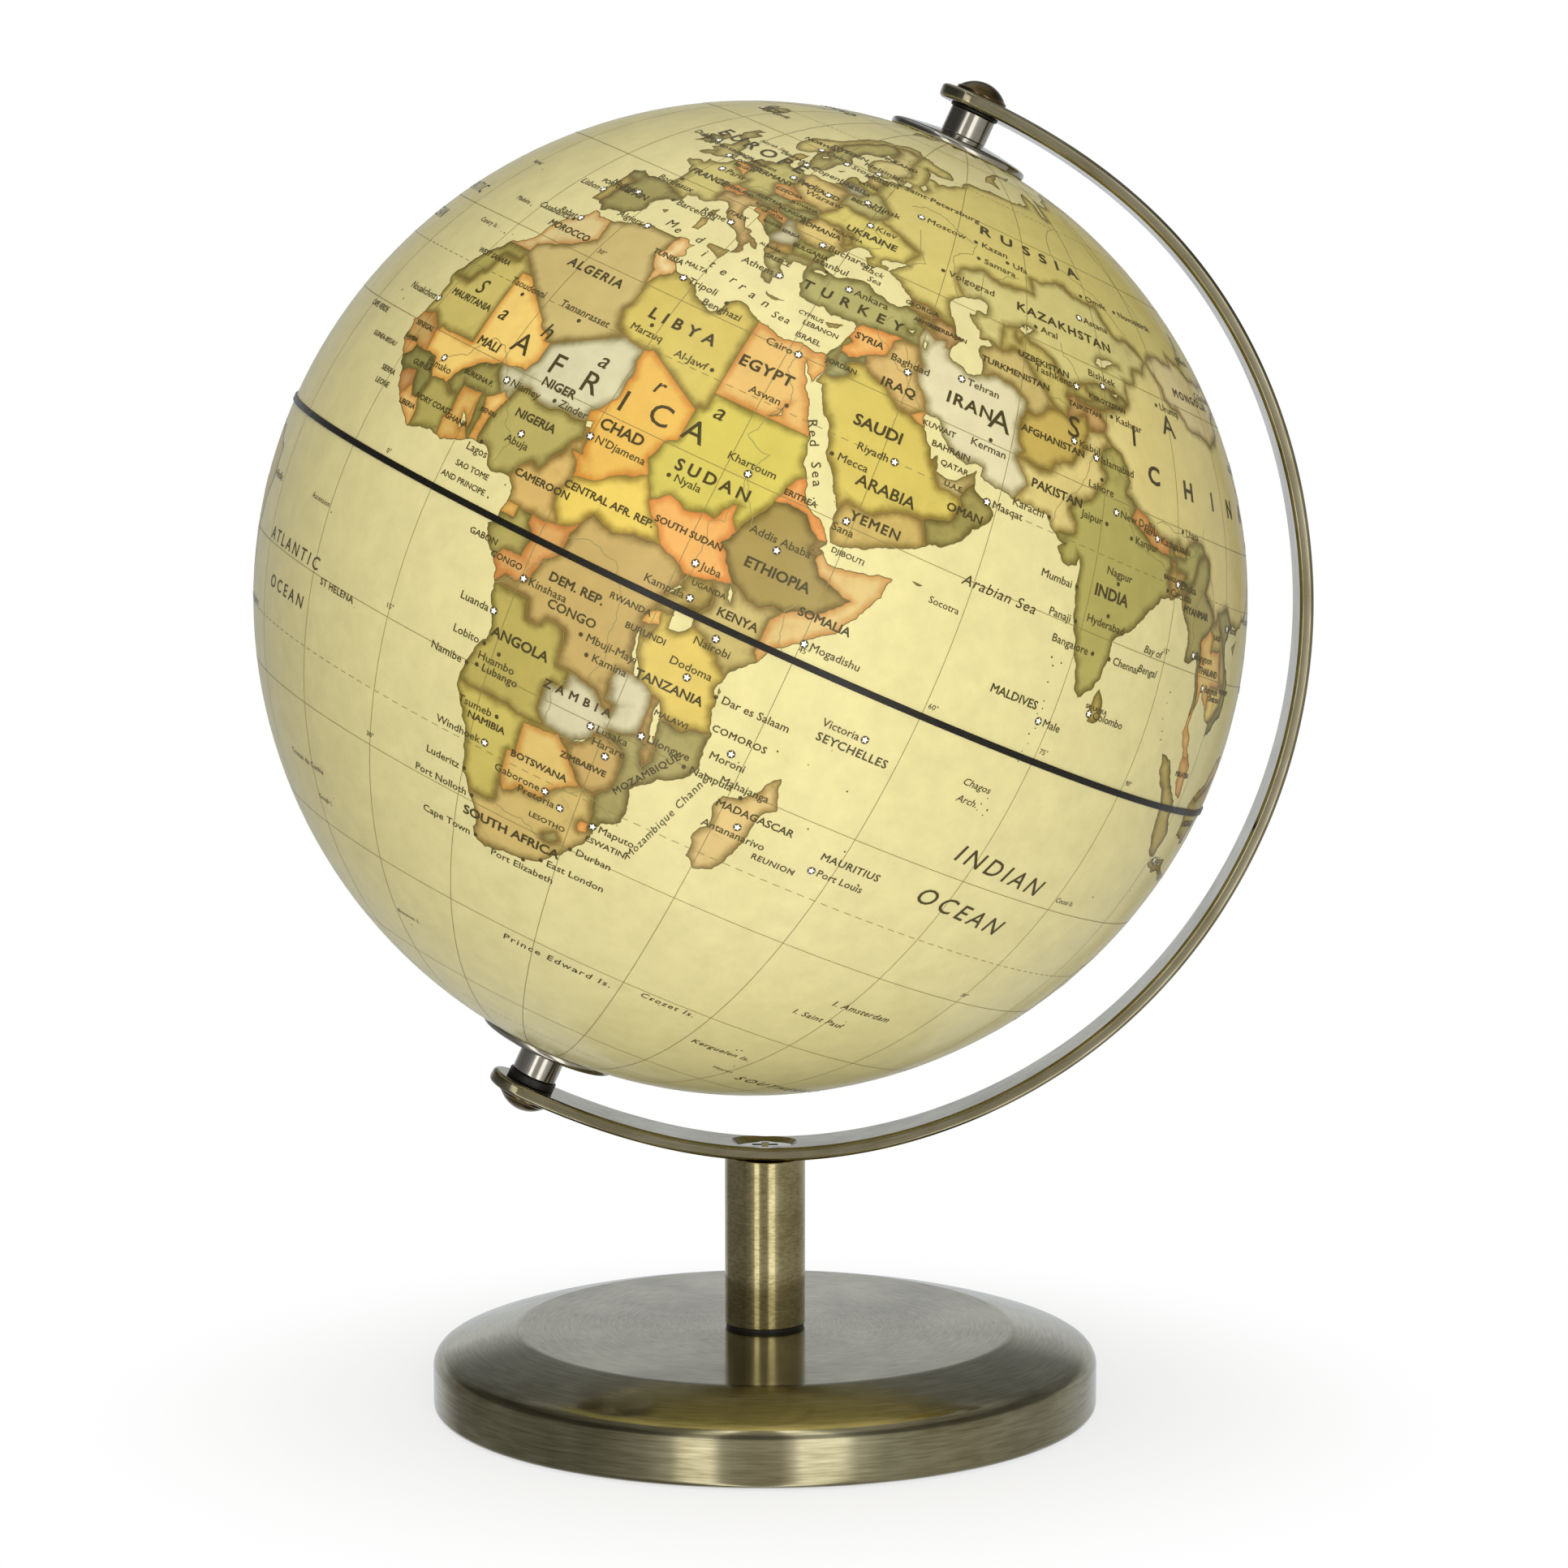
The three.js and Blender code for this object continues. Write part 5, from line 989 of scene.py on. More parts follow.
# names on the sea or across lands: name, longitude, latitude, height, spacing, turn, slant
seaNames = """
A|1|17.7|4.2|1|0|0;F|6.7|17.3|4.2|1|0|0;R|11.7|17.1|4.2|1|0|0;I|16.3|16.9|4.2|1|0|0;C|20.9|17.2|4.2|1|0|0
A|25.2|17.2|4.2|1|0|0;S|-10.6|21.4|3.2|1|0|.2;a|-4.3|19.9|3.2|1|0|.2;h|2.9|20.2|3.2|1|0|.2
a|11.6|20|3.2|1|0|.2;r|19|20.1|3.2|1|0|.2;a|26.6|20.3|3.2|1|0|.2;A|57.8|32.8|4.4|1|0|0;S|69|36|4.4|1|0|0
I|80.6|38.3|4.4|1|0|0;A|90|41.6|4.4|1|0|0;E U R O P E|2|54.8|3|1|-4|0;ATLANTIC|-22|-14|2.6|1.5|0|.2
OCEAN|-22|-19|2.6|1.5|0|.2;ATLANTIC|-42|32|2.6|1.5|0|.2;OCEAN|-42|27|2.6|1.5|0|.2
INDIAN|79|-12.6|3.6|1.35|-4|.2;OCEAN|77.6|-18.6|3.6|1.35|-4|.2;PACIFIC|-150|2|3|2|0|.2
OCEAN|-150|-4|3|2|0|.2;PACIFIC|160|22|2.6|1.6|0|.2;OCEAN|160|17|2.6|1.6|0|.2
SOUTHERN OCEAN|100|-56|2.2|1.5|0|.2;ARCTIC OCEAN|150|79|1.4|1.4|0|.2;Arabian Sea|63.4|14.9|2|1.1|0|.2
Bay of|87.4|15.6|1.5|1|0|.2;Bengal|87.2|13.4|1.5|1|0|.2;M|5.6|38.3|1.8|1|0|.2;e|7.2|37.9|1.8|1|0|.2
d|10.9|37.9|1.8|1|0|.2;i|13|36.5|1.8|1|0|.2;t|15|35.7|1.8|1|0|.2;e|17|35.4|1.8|1|0|.2;r|18.8|35|1.8|1|0|.2
r|20.4|34.7|1.8|1|0|.2;a|22.2|34.3|1.8|1|0|.2;n|24.3|34|1.8|1|0|.2;Sea|27|33.2|1.5|1.2|0|.2
Black|34.6|43.9|1.3|1|0|.2;Sea|35.4|42.8|1.3|1|0|.2;Red  Sea|38|20.7|1.8|1.3|-62|0
Mozambique Channel|39.9|-21.3|1.5|1.15|72|.2;North Sea|3|56.6|1.1|1|0|.2
MOZAMBIQUE|35.9|-17.7|1.35|1.1|55|0;MALDIVES|69.4|5.6|1.6|1|0|0;SEYCHELLES|54.8|-6.2|1.6|1.1|0|0
COMOROS|43.4|-9.9|1.3|1.1|0|0;MAURITIUS|61.4|-18.2|1.5|1.1|0|0;REUNION|53.2|-21.3|1.2|1.1|0|0
Chagos|69.8|-4.6|1.4|1|0|.2;Arch.|69.6|-6.5|1.4|1|0|.2;Prince Edward Is.|34.2|-46.6|1.7|1.2|0|.1
Crozet Is.|53|-45.8|1.5|1.2|0|.1;I. Amsterdam|78|-35.6|1.6|1.1|0|.1;I. Saint Paul|73.4|-38.8|1.5|1.1|0|.1
Kerguelen Is.|67.5|-50.6|1.5|1.1|0|.1;Heard I.|73.5|-55|1|1|0|.1;Ascension|-17.4|-7.4|1.1|1.1|0|0
ST HELENA|-9.6|-15.4|1.4|1.1|0|0;Tristan da Cunha|-17|-37.6|1.2|1.1|0|0;Gough I.|-13|-41.4|1|1|0|0
Bouvet I.|3.4|-52.8|1.1|1|0|0;SAO TOME|4|3.4|1.1|1|0|0;AND PRINCIPE|3.6|1.8|1.1|1|0|0
Socotra|57.6|11.5|1.3|1|0|0;Canary Is.|-20.6|28.6|1.1|1.1|0|0;Madeira|-19.6|33|1.1|1|0|0
Azores|-30|38.4|1.1|1|0|0;CAPE VERDE|-27.4|14.2|1.2|1|0|0;CYPRUS|30.3|34.9|.9|1|0|0
LEBANON|32.2|33.9|1|1|0|0;ISRAEL|31.4|32.2|1.1|1|0|0;KUWAIT|50.4|29|1.1|1|0|0;BAHRAIN|52.6|27.2|1.2|1|0|0
QATAR|53.6|25.6|1.1|1|0|0;ARABIA|47|20|2.2|1|0|0;DJIBOUTI|45.8|12.1|1|1|0|0;MALTA|13.6|34.5|1|1|0|0
Cocos Is.|92|-13.6|1.1|1|0|.1;SINGAPORE|106.6|.2|.8|1|0|0;MADAGASCAR|48.8|-17.2|1.5|1|0|0
MALAWI|36|-11|1.1|1|0|0;UGANDA|34|3|1|1|0|0;CONGO|21.8|-5.4|1.7|1|0|0;CONGO|12.6|-3.4|1.2|1|0|0
GABON|8.9|-2.2|1.2|1|0|0;RWANDA|27.2|-1.8|1.2|1|0|0;BURUNDI|29.9|-3.9|1.2|1|0|0;LESOTHO|27.2|-28|1.1|1|0|0
ESWATINI|35|-27.7|1.2|1|0|0;SIERRA|-15.8|8.6|1.1|1|0|0;LEONE|-15.6|7.1|1.1|1|0|0
GUINEA-BISSAU|-20.6|11.4|1|1|0|0;0°|-8.4|1|1|1|0|0;45°|45.6|1.3|1|1|0|0;60°|60.9|1.3|1|1|0|0
75°|75.9|1.3|1|1|0|0;90°|90.9|1.3|1|1|0|0;15°|0|-13.8|1|1|0|0;30°|0|-28.8|1|1|0|0;30°|1|31.2|1|1|0|0
15°|90|16.2|1|1|0|0;30°|90|-28.8|1|1|0|0;60°|30|61|1|1|0|0;45°|60|46|1|1|0|0"""

# towns: "*" a capital's star, "o" a dot; the name stands right of the mark, left with "<", above with "^"
# or below with "_"
towns = """
*Algiers|3|36.7|<;o Tamanrasset|5.5|22.8|^;*Tripoli|13.2|32.6|;o Benghazi|20.1|32|_;o Marzuq|13.9|25.9|_
o Al-Jawf|23.3|24.2|<;*Cairo|31.3|30|<;o Aswan|32.9|24.1|<;*Rabat|-6.8|34|<;o Casablanca|-7.6|33.5|<
*Nouakchott|-15.9|18.1|<;o Taoudenni|-4|22.7|^;*Bamako|-8|12.6|_;*Niamey|2.1|13.5|;o Zinder|9|13.8|
*Abuja|7.5|9.1|_;o Lagos|3.4|6.5|_;*N'Djamena|15|12.1|;*Khartoum|32.5|15.6|^;o Nyala|24.9|12|
*Juba|31.6|4.9|;*Kampala|32.6|1.4|<;o Kamina|25|-8.6|;o Mbuji-Mayi|23.6|-6.9|;*Addis Ababa|38.7|9.6|^
*Sana|44.2|15.4|_;*Mogadishu|45.3|2|;*Nairobi|36.8|-1.3|_;*Dodoma|35.7|-6.2|^;o Dar es Salaam|39.3|-6.8|
*Kinshasa|15.3|-4.3|;*Luanda|13.4|-8.8|<;o Lobito|13.6|-12.4|<;o Huambo|15.7|-12.8|_;o Namibe|12.2|-15.2|<
o Lubango|13.5|-14.9|;*Lusaka|28.3|-15.4|;*Harare|31|-17.8|^;*Windhoek|17.1|-22.6|<
o Luderitz|15.2|-26.6|<;o Tsumeb|17.7|-19.2|<;*Gaborone|25.9|-24.6|<;*Pretoria|28.2|-25.7|<
*Maputo|32.6|-26|;o Durban|31|-29.9|;o Cape Town|18.4|-33.9|<;o Port Elizabeth|25.6|-34|_
o East London|27.9|-33|;o Port Nolloth|16.9|-29.3|<;*Lilongwe|33.8|-14|;o Nampula|39.3|-15.1|
*Antananarivo|47.5|-18.9|_;o Mahajanga|46.3|-15.7|^;*Moroni|43.3|-11.7|_;*Port Louis|57.5|-20.2|
*Victoria|55.5|-4.6|<;*Male|73.5|4.2|;*Riyadh|46.7|23.4|<;o Mecca|39.8|21.4|;*Masqat|58.6|23.6|
*Baghdad|44.4|33.6|^;*Tehran|51.4|35.7|;o Kerman|57.1|30.3|_;*Ankara|32.9|40.2|;o Istanbul|28.9|41.1|^
*Athens|23.7|38|<;*Rome|12.5|41.9|<;*Madrid|-3.7|40.4|<;*Lisbon|-9.1|38.7|<;o Barcelona|2.2|41.4|
*Paris|2.3|48.9|;o Bordeaux|-.6|44.8|_;*London|-.1|51.5|;*Dublin|-6.3|53.3|<;*Berlin|13.4|52.5|
*Warsaw|21|52.2|_;*Bucharest|26.1|44.4|;*Kiev|30.5|50.4|;*Minsk|27.6|53.9|;*Moscow|37.6|55.7|
o Kazan|49.1|55.8|;o Volgograd|44.5|48.7|;o Ufa|56|54.7|;o Samara|50.1|53.2|;o Saint Petersburg|30.3|59.9|
*Stockholm|18|59.3|;*Oslo|10.7|59.9|;*Helsinki|25|60.2|^;*Copenhagen|12.5|55.7|;*Astana|71.4|51.2|
*Tashkent|69.3|41.3|<;o Aral|61.7|46.8|;*Bishkek|74.6|42.9|^;*Kabul|69.2|34.5|;*Islamabad|73.1|33.7|
o Karachi|67|24.9|<;o Lahore|74.3|31.5|_;*New Delhi|77.2|28.6|;o Jaipur|75.8|26.9|<;o Mumbai|72.9|19|<
o Nagpur|79.1|21.1|^;o Hyderabad|78.5|17.4|_;o Bangalore|77.6|13|<;o Chennai|80.3|13.1|
o Panaji|73.9|15.5|<;o Calcutta|88.3|22.6|;o Kanpur|80.3|26.5|;*Colombo|79.9|6.9|;*Kathmandu|85.3|27.7|
*Dhaka|90.4|23.7|;*Rangoon|96.2|16.9|;*Bangkok|100.5|13.8|;*Hanoi|105.8|21|;o Lhasa|91.1|29.7|
o Urumqi|87.6|43.8|;o Kashgar|76|39.5|;*Beijing|116.4|39.9|;*Ulan Bator|106.9|47.9|;o Omsk|73.4|55|
o Novosibirsk|82.9|55|;o Irkutsk|104.3|52.3|;o Shanghai|121.5|31.2|;*Tokyo|139.7|35.7|;*Seoul|127|37.5|
o Hong Kong|114.2|22.4|;*Jakarta|106.8|-6.2|;*Manila|121|14.6|;*Canberra|149.1|-35.3|;o Perth|115.9|-32|
o Sydney|151.2|-33.9|;*Wellington|174.8|-41.3|;*Washington|-77|38.9|;o New York|-74|40.7|
o Chicago|-87.6|41.9|;o Los Angeles|-118.2|34|;*Ottawa|-75.7|45.4|;*Mexico City|-99.1|19.4|
*Havana|-82.4|23.1|;*Bogota|-74.1|4.6|;*Lima|-77|-12|;*Brasilia|-47.9|-15.8|;o Recife|-34.9|-8|
o Rio de Janeiro|-43.2|-22.9|;*Buenos Aires|-58.4|-34.6|;*Santiago|-70.7|-33.5|;*Caracas|-66.9|10.5|
*Reykjavik|-21.9|64.1|"""

islets = """
73.2 6.4,73.4 5.6,73 4.9,73.5 3.4,73 2.6,73.4 1.6,73.1 .6,73.2 -.5,72.3 -7.3,71.4 -6.2,71.8 -5.4,72.5 -6.6,
71.3 -7,55.5 -4.8,55.9 -4.3,53 -5.8,52.8 -7,51.2 -9.4,46.3 -9.5,47.6 -9.4,43.4 -11.5,44.4 -12.2,45.2 -12.8,
57.6 -20.3,55.6 -21.2,63.4 -19.7,92.8 12.2,92.7 11,92.8 9.2,93.5 7.9,93.8 7,72.2 11,72.7 10.2,73.7 10.8,
72.8 8.4,6.7 .3,7.4 1.6,-14.4 -8,-5.7 -16,-12.3 -37.2,-10 -40.3,37.8 -46.8,51.8 -46.4,50.3 -46,77.5 -37.8,
77.6 -38.8,69.2 -49.3,70 -49.1,73.5 -53.1,3.4 -54.3,-16.5 28.2,-15.6 28.2,-14 28.5,-17.9 28.6,-16.9 32.7,
-25.5 37.7,-28 38.6,-23.6 15,-24.9 17,-22.9 16.2,96.8 -12.1,105.6 -10.4,40 16.2,40.6 15.7,42.2 16.8,
14.4 35.9,8.7 3.6,79.6 -19,59.7 -16.7,56.4 -10.4,54.6 -15.9"""

globe = {
    "facing": 39.7, "radius": 100, "firstMeridian": -169, "poleHole": 86.6, "coastStep": 0.45,
    "farStep": 1.2,
    "shownWest": -25, "shownEast": 125, "shownLat": 74, "inkLift": 0.05, "coastWidth": 0.17,
    "borderWidth": 0.15, "riverWidth": 0.13, "gridWidth": 0.13, "joinReach": 1.6}


def onBall(lon, lat, lift=0.0):  # degrees and mm above the print to a place in the scene
    turned = math.radians(lon - globe["facing"])
    rise = math.radians(lat)
    way = Vector((math.cos(rise) * math.sin(turned), -math.cos(rise) * math.cos(turned), math.sin(rise)))
    return northPlace @ (way * (globe["radius"] + lift) * mm)


def readLine(text):
    corners = text.strip().replace("\n", "").split(",")
    return [tuple(float(part) for part in corner.split()) for corner in corners]


def readLines(text):
    return [readLine(row) for row in text.strip().replace(",\n", ",").split("\n")]


def readRows(text):
    return [row.split("|") for row in text.strip().replace("\n", ";").split(";")]


def isShown(lon, lat):  # the side of the map that faces the front gets the finer outlines
    return globe["shownWest"] < lon < globe["shownEast"] and abs(lat) < globe["shownLat"]


def roughen(line, waver, ruled=False):
    # splits each stretch in halves down to the step, pushing the middle aside by a share of its length
    fine = [line[0]]
    for start, end in zip(line, line[1:]):
        stretch = [start, end]
        step = globe["coastStep"] if isShown(*start) else globe["farStep"]
        level = abs(start[0] - end[0]) < 0.02 or abs(start[1] - end[1]) < 0.02
        while True:
            squeeze = math.cos(math.radians(stretch[0][1]))
            (lon, lat), (nextLon, nextLat) = stretch[:2]
            if math.dist((lon * squeeze, lat), (nextLon * squeeze, nextLat)) < step:
                break
            halves = [stretch[0]]
            for a, b in zip(stretch, stretch[1:]):
                push = 0 if ruled or level else chance.uniform(-waver, waver)
                halves.append(((a[0] + b[0]) / 2 - (b[1] - a[1]) * push,
                               (a[1] + b[1]) / 2 + (b[0] - a[0]) * push))
                halves.append(b)
            stretch = halves
        fine += stretch[1:]
    return fine


def intoDomain(line):  # longitudes run from the first meridian once round
    middle = sum(corner[0] for corner in line) / len(line)
    shift = 360 if middle < globe["firstMeridian"] else 0
    return [(corner[0] + shift, corner[1]) for corner in line]


def joinEnds(lines, rings):  # carries the loose ends of borders on to the outline beside them
    tree = KDTree(sum(len(line) for line in lines + rings))
    spots = [(corner, number) for number, line in enumerate(lines + rings) for corner in line]
    for index, (corner, number) in enumerate(spots):
        tree.insert((corner[0], corner[1], 0), index)
    tree.balance()
    for number, line in enumerate(lines):
        for end in (0, -1):
            for _, index, gap in tree.find_n((line[end][0], line[end][1], 0), 60):
                if spots[index][1] != number:
                    if 0 < gap < globe["joinReach"]:
                        line.insert(0 if end == 0 else len(line), spots[index][0])
                    break


def floodRegions(faces, walls, beside):  # numbers the lands and seas that the outlines close off
    region = [-1] * len(faces)
    regions = 0
    for start in range(len(faces)):
        if region[start] >= 0:
            continue
        stack = [start]
        region[start] = regions
        while stack:
            face = faces[stack.pop()]
            for a, b in zip(face, face[1:] + face[:1]):
                key = (min(a, b), max(a, b))
                for other in beside[key] if key not in walls else ():
                    if region[other] < 0:
                        region[other] = regions
                        stack.append(other)
        regions += 1
    return region


def layMap():
    # lays a flat net of triangles through every outline and finds which land or sea each belongs to
    closed = [readLine(text) for text in list(coasts.values()) + list(lakes.values())]
    rings = [roughen(intoDomain(ring + ring[:1]), 0.13) for ring in closed]
    lines = [roughen(intoDomain(line), 0.09) for line in readLines(borders)]
    lines += [roughen(line, 0, True) for line in readLines(ruledBorders)]
    joinEnds(lines, rings)
    first, last = globe["firstMeridian"], globe["firstMeridian"] + 360
    points, numberOf, joins = [], {}, []

    def place(lon, lat):
        key = (round(lon, 3), round(lat, 3))
        if key not in numberOf:
            numberOf[key] = len(points)
            points.append(Vector(key))
        return numberOf[key]

    for line in rings + lines:
        numbers = [place(*corner) for corner in line]
        joins += [pair for pair in zip(numbers, numbers[1:]) if pair[0] != pair[1]]
    blocking = len(joins)
    top = globe["poleHole"]
    for row in (-top, 0, top):
        numbers = [place(first + step * 1.5, row) for step in range(241)]
        joins += list(zip(numbers, numbers[1:]))
    for edge in (first, last):
        numbers = [place(edge, max(-top, min(top, lat))) for lat in range(-87, 88, 1)]
        joins += [pair for pair in zip(numbers, numbers[1:]) if pair[0] != pair[1]]
    seeds = {}
    for name, lon, lat, size, color, spacing in readRows(lands):
        seeds[place(float(lon), float(lat))] = (name, color, spacing.endswith("!"))
    for lake, text in lakes.items():
        ring = readLine(text)
        middle = [sum(values) / len(ring) for values in zip(*ring)]
        seeds[place(*lakeSpots.get(lake, middle))] = ("sea", "", False)
    seeds[place(-30, 5)] = ("sea", "", False)
    for line in rings + lines:  # rows of corners beside each outline carry the shading of its edge
        for a, b in zip(line, line[1:]):
            squeeze = max(0.2, math.cos(math.radians(a[1])))
            along = Vector(((b[0] - a[0]) * squeeze, b[1] - a[1]))
            if along.length < 0.02:
                continue
            side = Vector((-along.y, along.x)).normalized()
            for reach in ((-0.85, -0.35, 0.35, 0.85) if isShown(*a) else (-0.6, 0.6)):
                lon = (a[0] + b[0]) / 2 + side.x * reach / squeeze
                lat = (a[1] + b[1]) / 2 + side.y * reach
                if first + 0.3 < lon < last - 0.3 and abs(lat) < top - 0.2 and abs(lat) > 0.2:
                    place(round(lon * 5) / 5, round(lat * 5) / 5)
    for row in range(-43, 44):
        lat = row * 2
        stepLon = 2 / max(0.12, math.cos(math.radians(lat)))
        count = int(360 / stepLon)
        for step in range(1, count if lat else 0):
            place(first + 360 * (step + 0.5 * (row % 2)) / (count + 1), lat)
    corners, edges, faces, _, edgeSources, _ = delaunay_2d_cdt(points, joins, [], 0, 1e-5, True)
    walls = {tuple(sorted(edge)) for edge, sources in zip(edges, edgeSources)
             if any(source < blocking for source in sources)}
    beside = {}
    for number, face in enumerate(faces):
        for a, b in zip(face, face[1:] + face[:1]):
            beside.setdefault((min(a, b), max(a, b)), []).append(number)
    region = floodRegions(faces, walls, beside)
    nearest = KDTree(len(corners))
    for number, corner in enumerate(corners):
        nearest.insert((corner.x, corner.y, 0), number)
    nearest.balance()
    facesAt = {}
    for number, face in enumerate(faces):
        for corner in face:
            facesAt.setdefault(corner, []).append(number)
    looks = {}
    for seed, look in seeds.items():
        corner = nearest.find((points[seed].x, points[seed].y, 0))[1]
        for number in {region[face] for face in facesAt[corner]}:
            looks.setdefault(number, look)
    look = [looks.get(number, ("island", "cfb970", False)) for number in region]
    coastEdges, borderEdges = [], []
    for key in walls:
        sides = beside.get(key, [])
        if len(sides) == 2 and region[sides[0]] != region[sides[1]]:
            wet = [look[side][0] == "sea" for side in sides]
            if any(wet) and not all(wet):
                coastEdges.append(key)
            elif not any(wet) and look[sides[0]][1] != look[sides[1]][1]:
                borderEdges.append(key)
    return corners, faces, look, coastEdges, borderEdges


def addPrinted(name, bm, material, replaced=()):  # a piece on the ball's skin, shaded as round as the ball
    for face in bm.faces:
        if face.normal.dot(face.calc_center_median() - ballCentre) < 0:
            face.normal_flip()
    piece = addPiece(name, bm, material, "globe", replaced, 180, False)
    piece.data.normals_split_custom_set_from_vertices(
        [(vert.co - ballCentre).normalized() for vert in piece.data.vertices])
    print(name, "made")


def printedSkin(name, corners, faces, look, edgeCorners, north):
    # the printed half: triangles of the map laid on the ball, with the print's colours and the
    # distance of every corner from the nearest outline
    used = [number for number, face in enumerate(faces)
            if (sum(corners[c].y for c in face) > 0) == north]
    bm = bmesh.new()
    inkLayer = bm.loops.layers.float_color.new("ink")
    fromEdge = bm.verts.layers.float.new("fromEdge")
    tree = KDTree(len(edgeCorners))
    for index, corner in enumerate(edgeCorners):
        tree.insert(onBall(corners[corner].x, corners[corner].y), index)
    tree.balance()
    verts = {}
    for number in used:
        for corner in faces[number]:
            if corner not in verts:
                spot = onBall(corners[corner].x, corners[corner].y)
                verts[corner] = bm.verts.new(spot)
                verts[corner][fromEdge] = min(6.0, tree.find(spot)[2] / mm)
        face = bm.faces.new([verts[corner] for corner in faces[number]])
        kind, color, burnt = look[number]
        land = 1.0 if burnt else 0.5
        tint = hexColor("d5ca8e", 0.0) if kind == "sea" else hexColor(color, land)
        for loop in face.loops:
            loop[inkLayer] = tint
    bmesh.ops.remove_doubles(bm, verts=[vert for vert in bm.verts if vert.is_boundary], dist=1e-6)
    addPrinted(name, bm, mapPrint, ["north_hemisphere" if north else "south_hemisphere"])


def ribbon(bm, chains, width, lift):
    # flat ink lines on the ball, mitred at their corners; a chain is a list of (longitude, latitude)
    for chain in chains:
        spots = [onBall(*corner, lift) for corner in chain]
        closed = chain[0] == chain[-1] and len(chain) > 2
        rails = []
        for index, spot in enumerate(spots):
            before = spots[index - 1] if index else (spots[-2] if closed else spot)
            after = spots[index + 1] if index + 1 < len(spots) else (spots[1] if closed else spot)
            side = (after - before).cross(spot - ballCentre).normalized() * width / 2 * mm
            rails.append((bm.verts.new(spot + side), bm.verts.new(spot - side)))
        for (a, b), (c, d) in zip(rails, rails[1:]):
            bm.faces.new((a, c, d, b))


def chainsOf(edges, corners):  # strings loose edges together into runs
    nextTo = {}
    for a, b in edges:
        nextTo.setdefault(a, set()).add(b)
        nextTo.setdefault(b, set()).add(a)
    chains = []
    starts = sorted(corner for corner in nextTo if len(nextTo[corner]) != 2) + sorted(nextTo)
    for start in starts:
        while nextTo[start]:
            run = [start]
            while nextTo[run[-1]] and (len(run) == 1 or len(nextTo[run[-1]]) == 1):
                following = min(nextTo[run[-1]])
                nextTo[run[-1]].discard(following)
                nextTo[following].discard(run[-1])
                run.append(following)
            chains.append([(corners[c].x, corners[c].y) for c in run])
    return chains


varnish = {"Roughness": 0.5, "Specular IOR Level": 0.3, "Coat Weight": 0.5, "Coat Roughness": 0.2}


def addVarnish(shader):
    for socket, value in varnish.items():
        shader.inputs[socket].default_value = value


def plainInk(name, color):  # printed ink: one flat colour, under the same varnish as the map
    material, tree, shader = newMaterial(name)
    shader.inputs["Base Color"].default_value = hexColor(color)
    addVarnish(shader)
    return material


def inkPiece(name, bm, color):
    bmesh.ops.recalc_face_normals(bm, faces=bm.faces)
    addPrinted(name, bm, plainInk(name + "Colour", color))


def makeGraticule():
    first, width, lift = globe["firstMeridian"], globe["gridWidth"], globe["inkLift"]
    spacing, dash = 15, 1.6
    parallels = [[(lon, lat) for lon in range(first, first + 361, 2)] + [(first, lat)]
                 for lat in range(-75, 76, spacing) if lat]
    meridians = [[(lon, lat) for lat in range(-82, 83, 2)] for lon in range(-165, 181, spacing)]
    dashes = [[(step * dash, lat), (step * dash + 0.9, lat)]
              for lat in (-66.5, -23.45, 23.45, 66.5) for step in range(225)]
    bm = bmesh.new()
    for chains in (parallels, meridians, dashes):
        ribbon(bm, chains, width, lift)
    inkPiece("graticuleInk", bm, "857a46")


letters = {
    "scale": 0.86, "grow": 1.2, "capitalShare": 0.73, "widen": 1.1, "landBold": 0.045, "islandBold": 0.03,
    "seaBold": 0.008, "townBold": 0.016, "town": 1.3, "townGap": 1.15, "townDrop": 1.75, "lift": 0.07}


def thicken(verts, amount):
    # pushes the outlines of flat letters outwards; sharp corners move no more than twice as far
    pushes = []
    for vert in verts:
        push = Vector((0, 0, 0))
        for edge in vert.link_edges:
            if edge.is_boundary:
                along = edge.other_vert(vert).co - vert.co
                side = Vector((along.y, -along.x, 0)).normalized()
                inwards = edge.link_faces[0].calc_center_median() - vert.co
                push -= side if side.dot(inwards) > 0 else -side
        pushes.append(push * 2 * amount / max(push.length_squared, 1.0))
    for vert, push in zip(verts, pushes):
        vert.co += push


def bendOn(bm, known, lon, lat, lift):  # bends what was added flat since then onto the ball
    stretch = math.cos(math.radians(lat))
    for vert in bm.verts[known:]:
        vert.co = onBall(lon + math.degrees(vert.co.x / globe["radius"]) / stretch,
                         lat + math.degrees(vert.co.y / globe["radius"]), lift)


def lettering(bm, text, lon, lat, height, bold, spacing=1.0, turned=0, slant=0.0, align="CENTER"):
    # sets a name flat, lays it along the parallel and bends it onto the ball
    curve = bpy.data.curves.new("lettering", "FONT")
    curve.body = text
    curve.align_x = align
    curve.align_y = "CENTER"
    curve.space_character = spacing
    curve.size = height * letters["grow"] / letters["capitalShare"]
    curve.shear = slant
    curve.resolution_u = 3 if height > 1.6 else 2
    name = bpy.data.objects.new("lettering", curve)
    known = len(bm.verts)
    bm.from_mesh(name.to_mesh())
    name.to_mesh_clear()
    bpy.data.objects.remove(name)
    bpy.data.curves.remove(curve)
    bm.verts.ensure_lookup_table()
    thicken(bm.verts[known:], bold * height)
    bmesh.ops.scale(bm, verts=bm.verts[known:], vec=(letters["widen"], 1, 1))
    bmesh.ops.rotate(bm, verts=bm.verts[known:], matrix=Matrix.Rotation(math.radians(turned), 3, "Z"))
    bendOn(bm, known, lon, lat, letters["lift"])


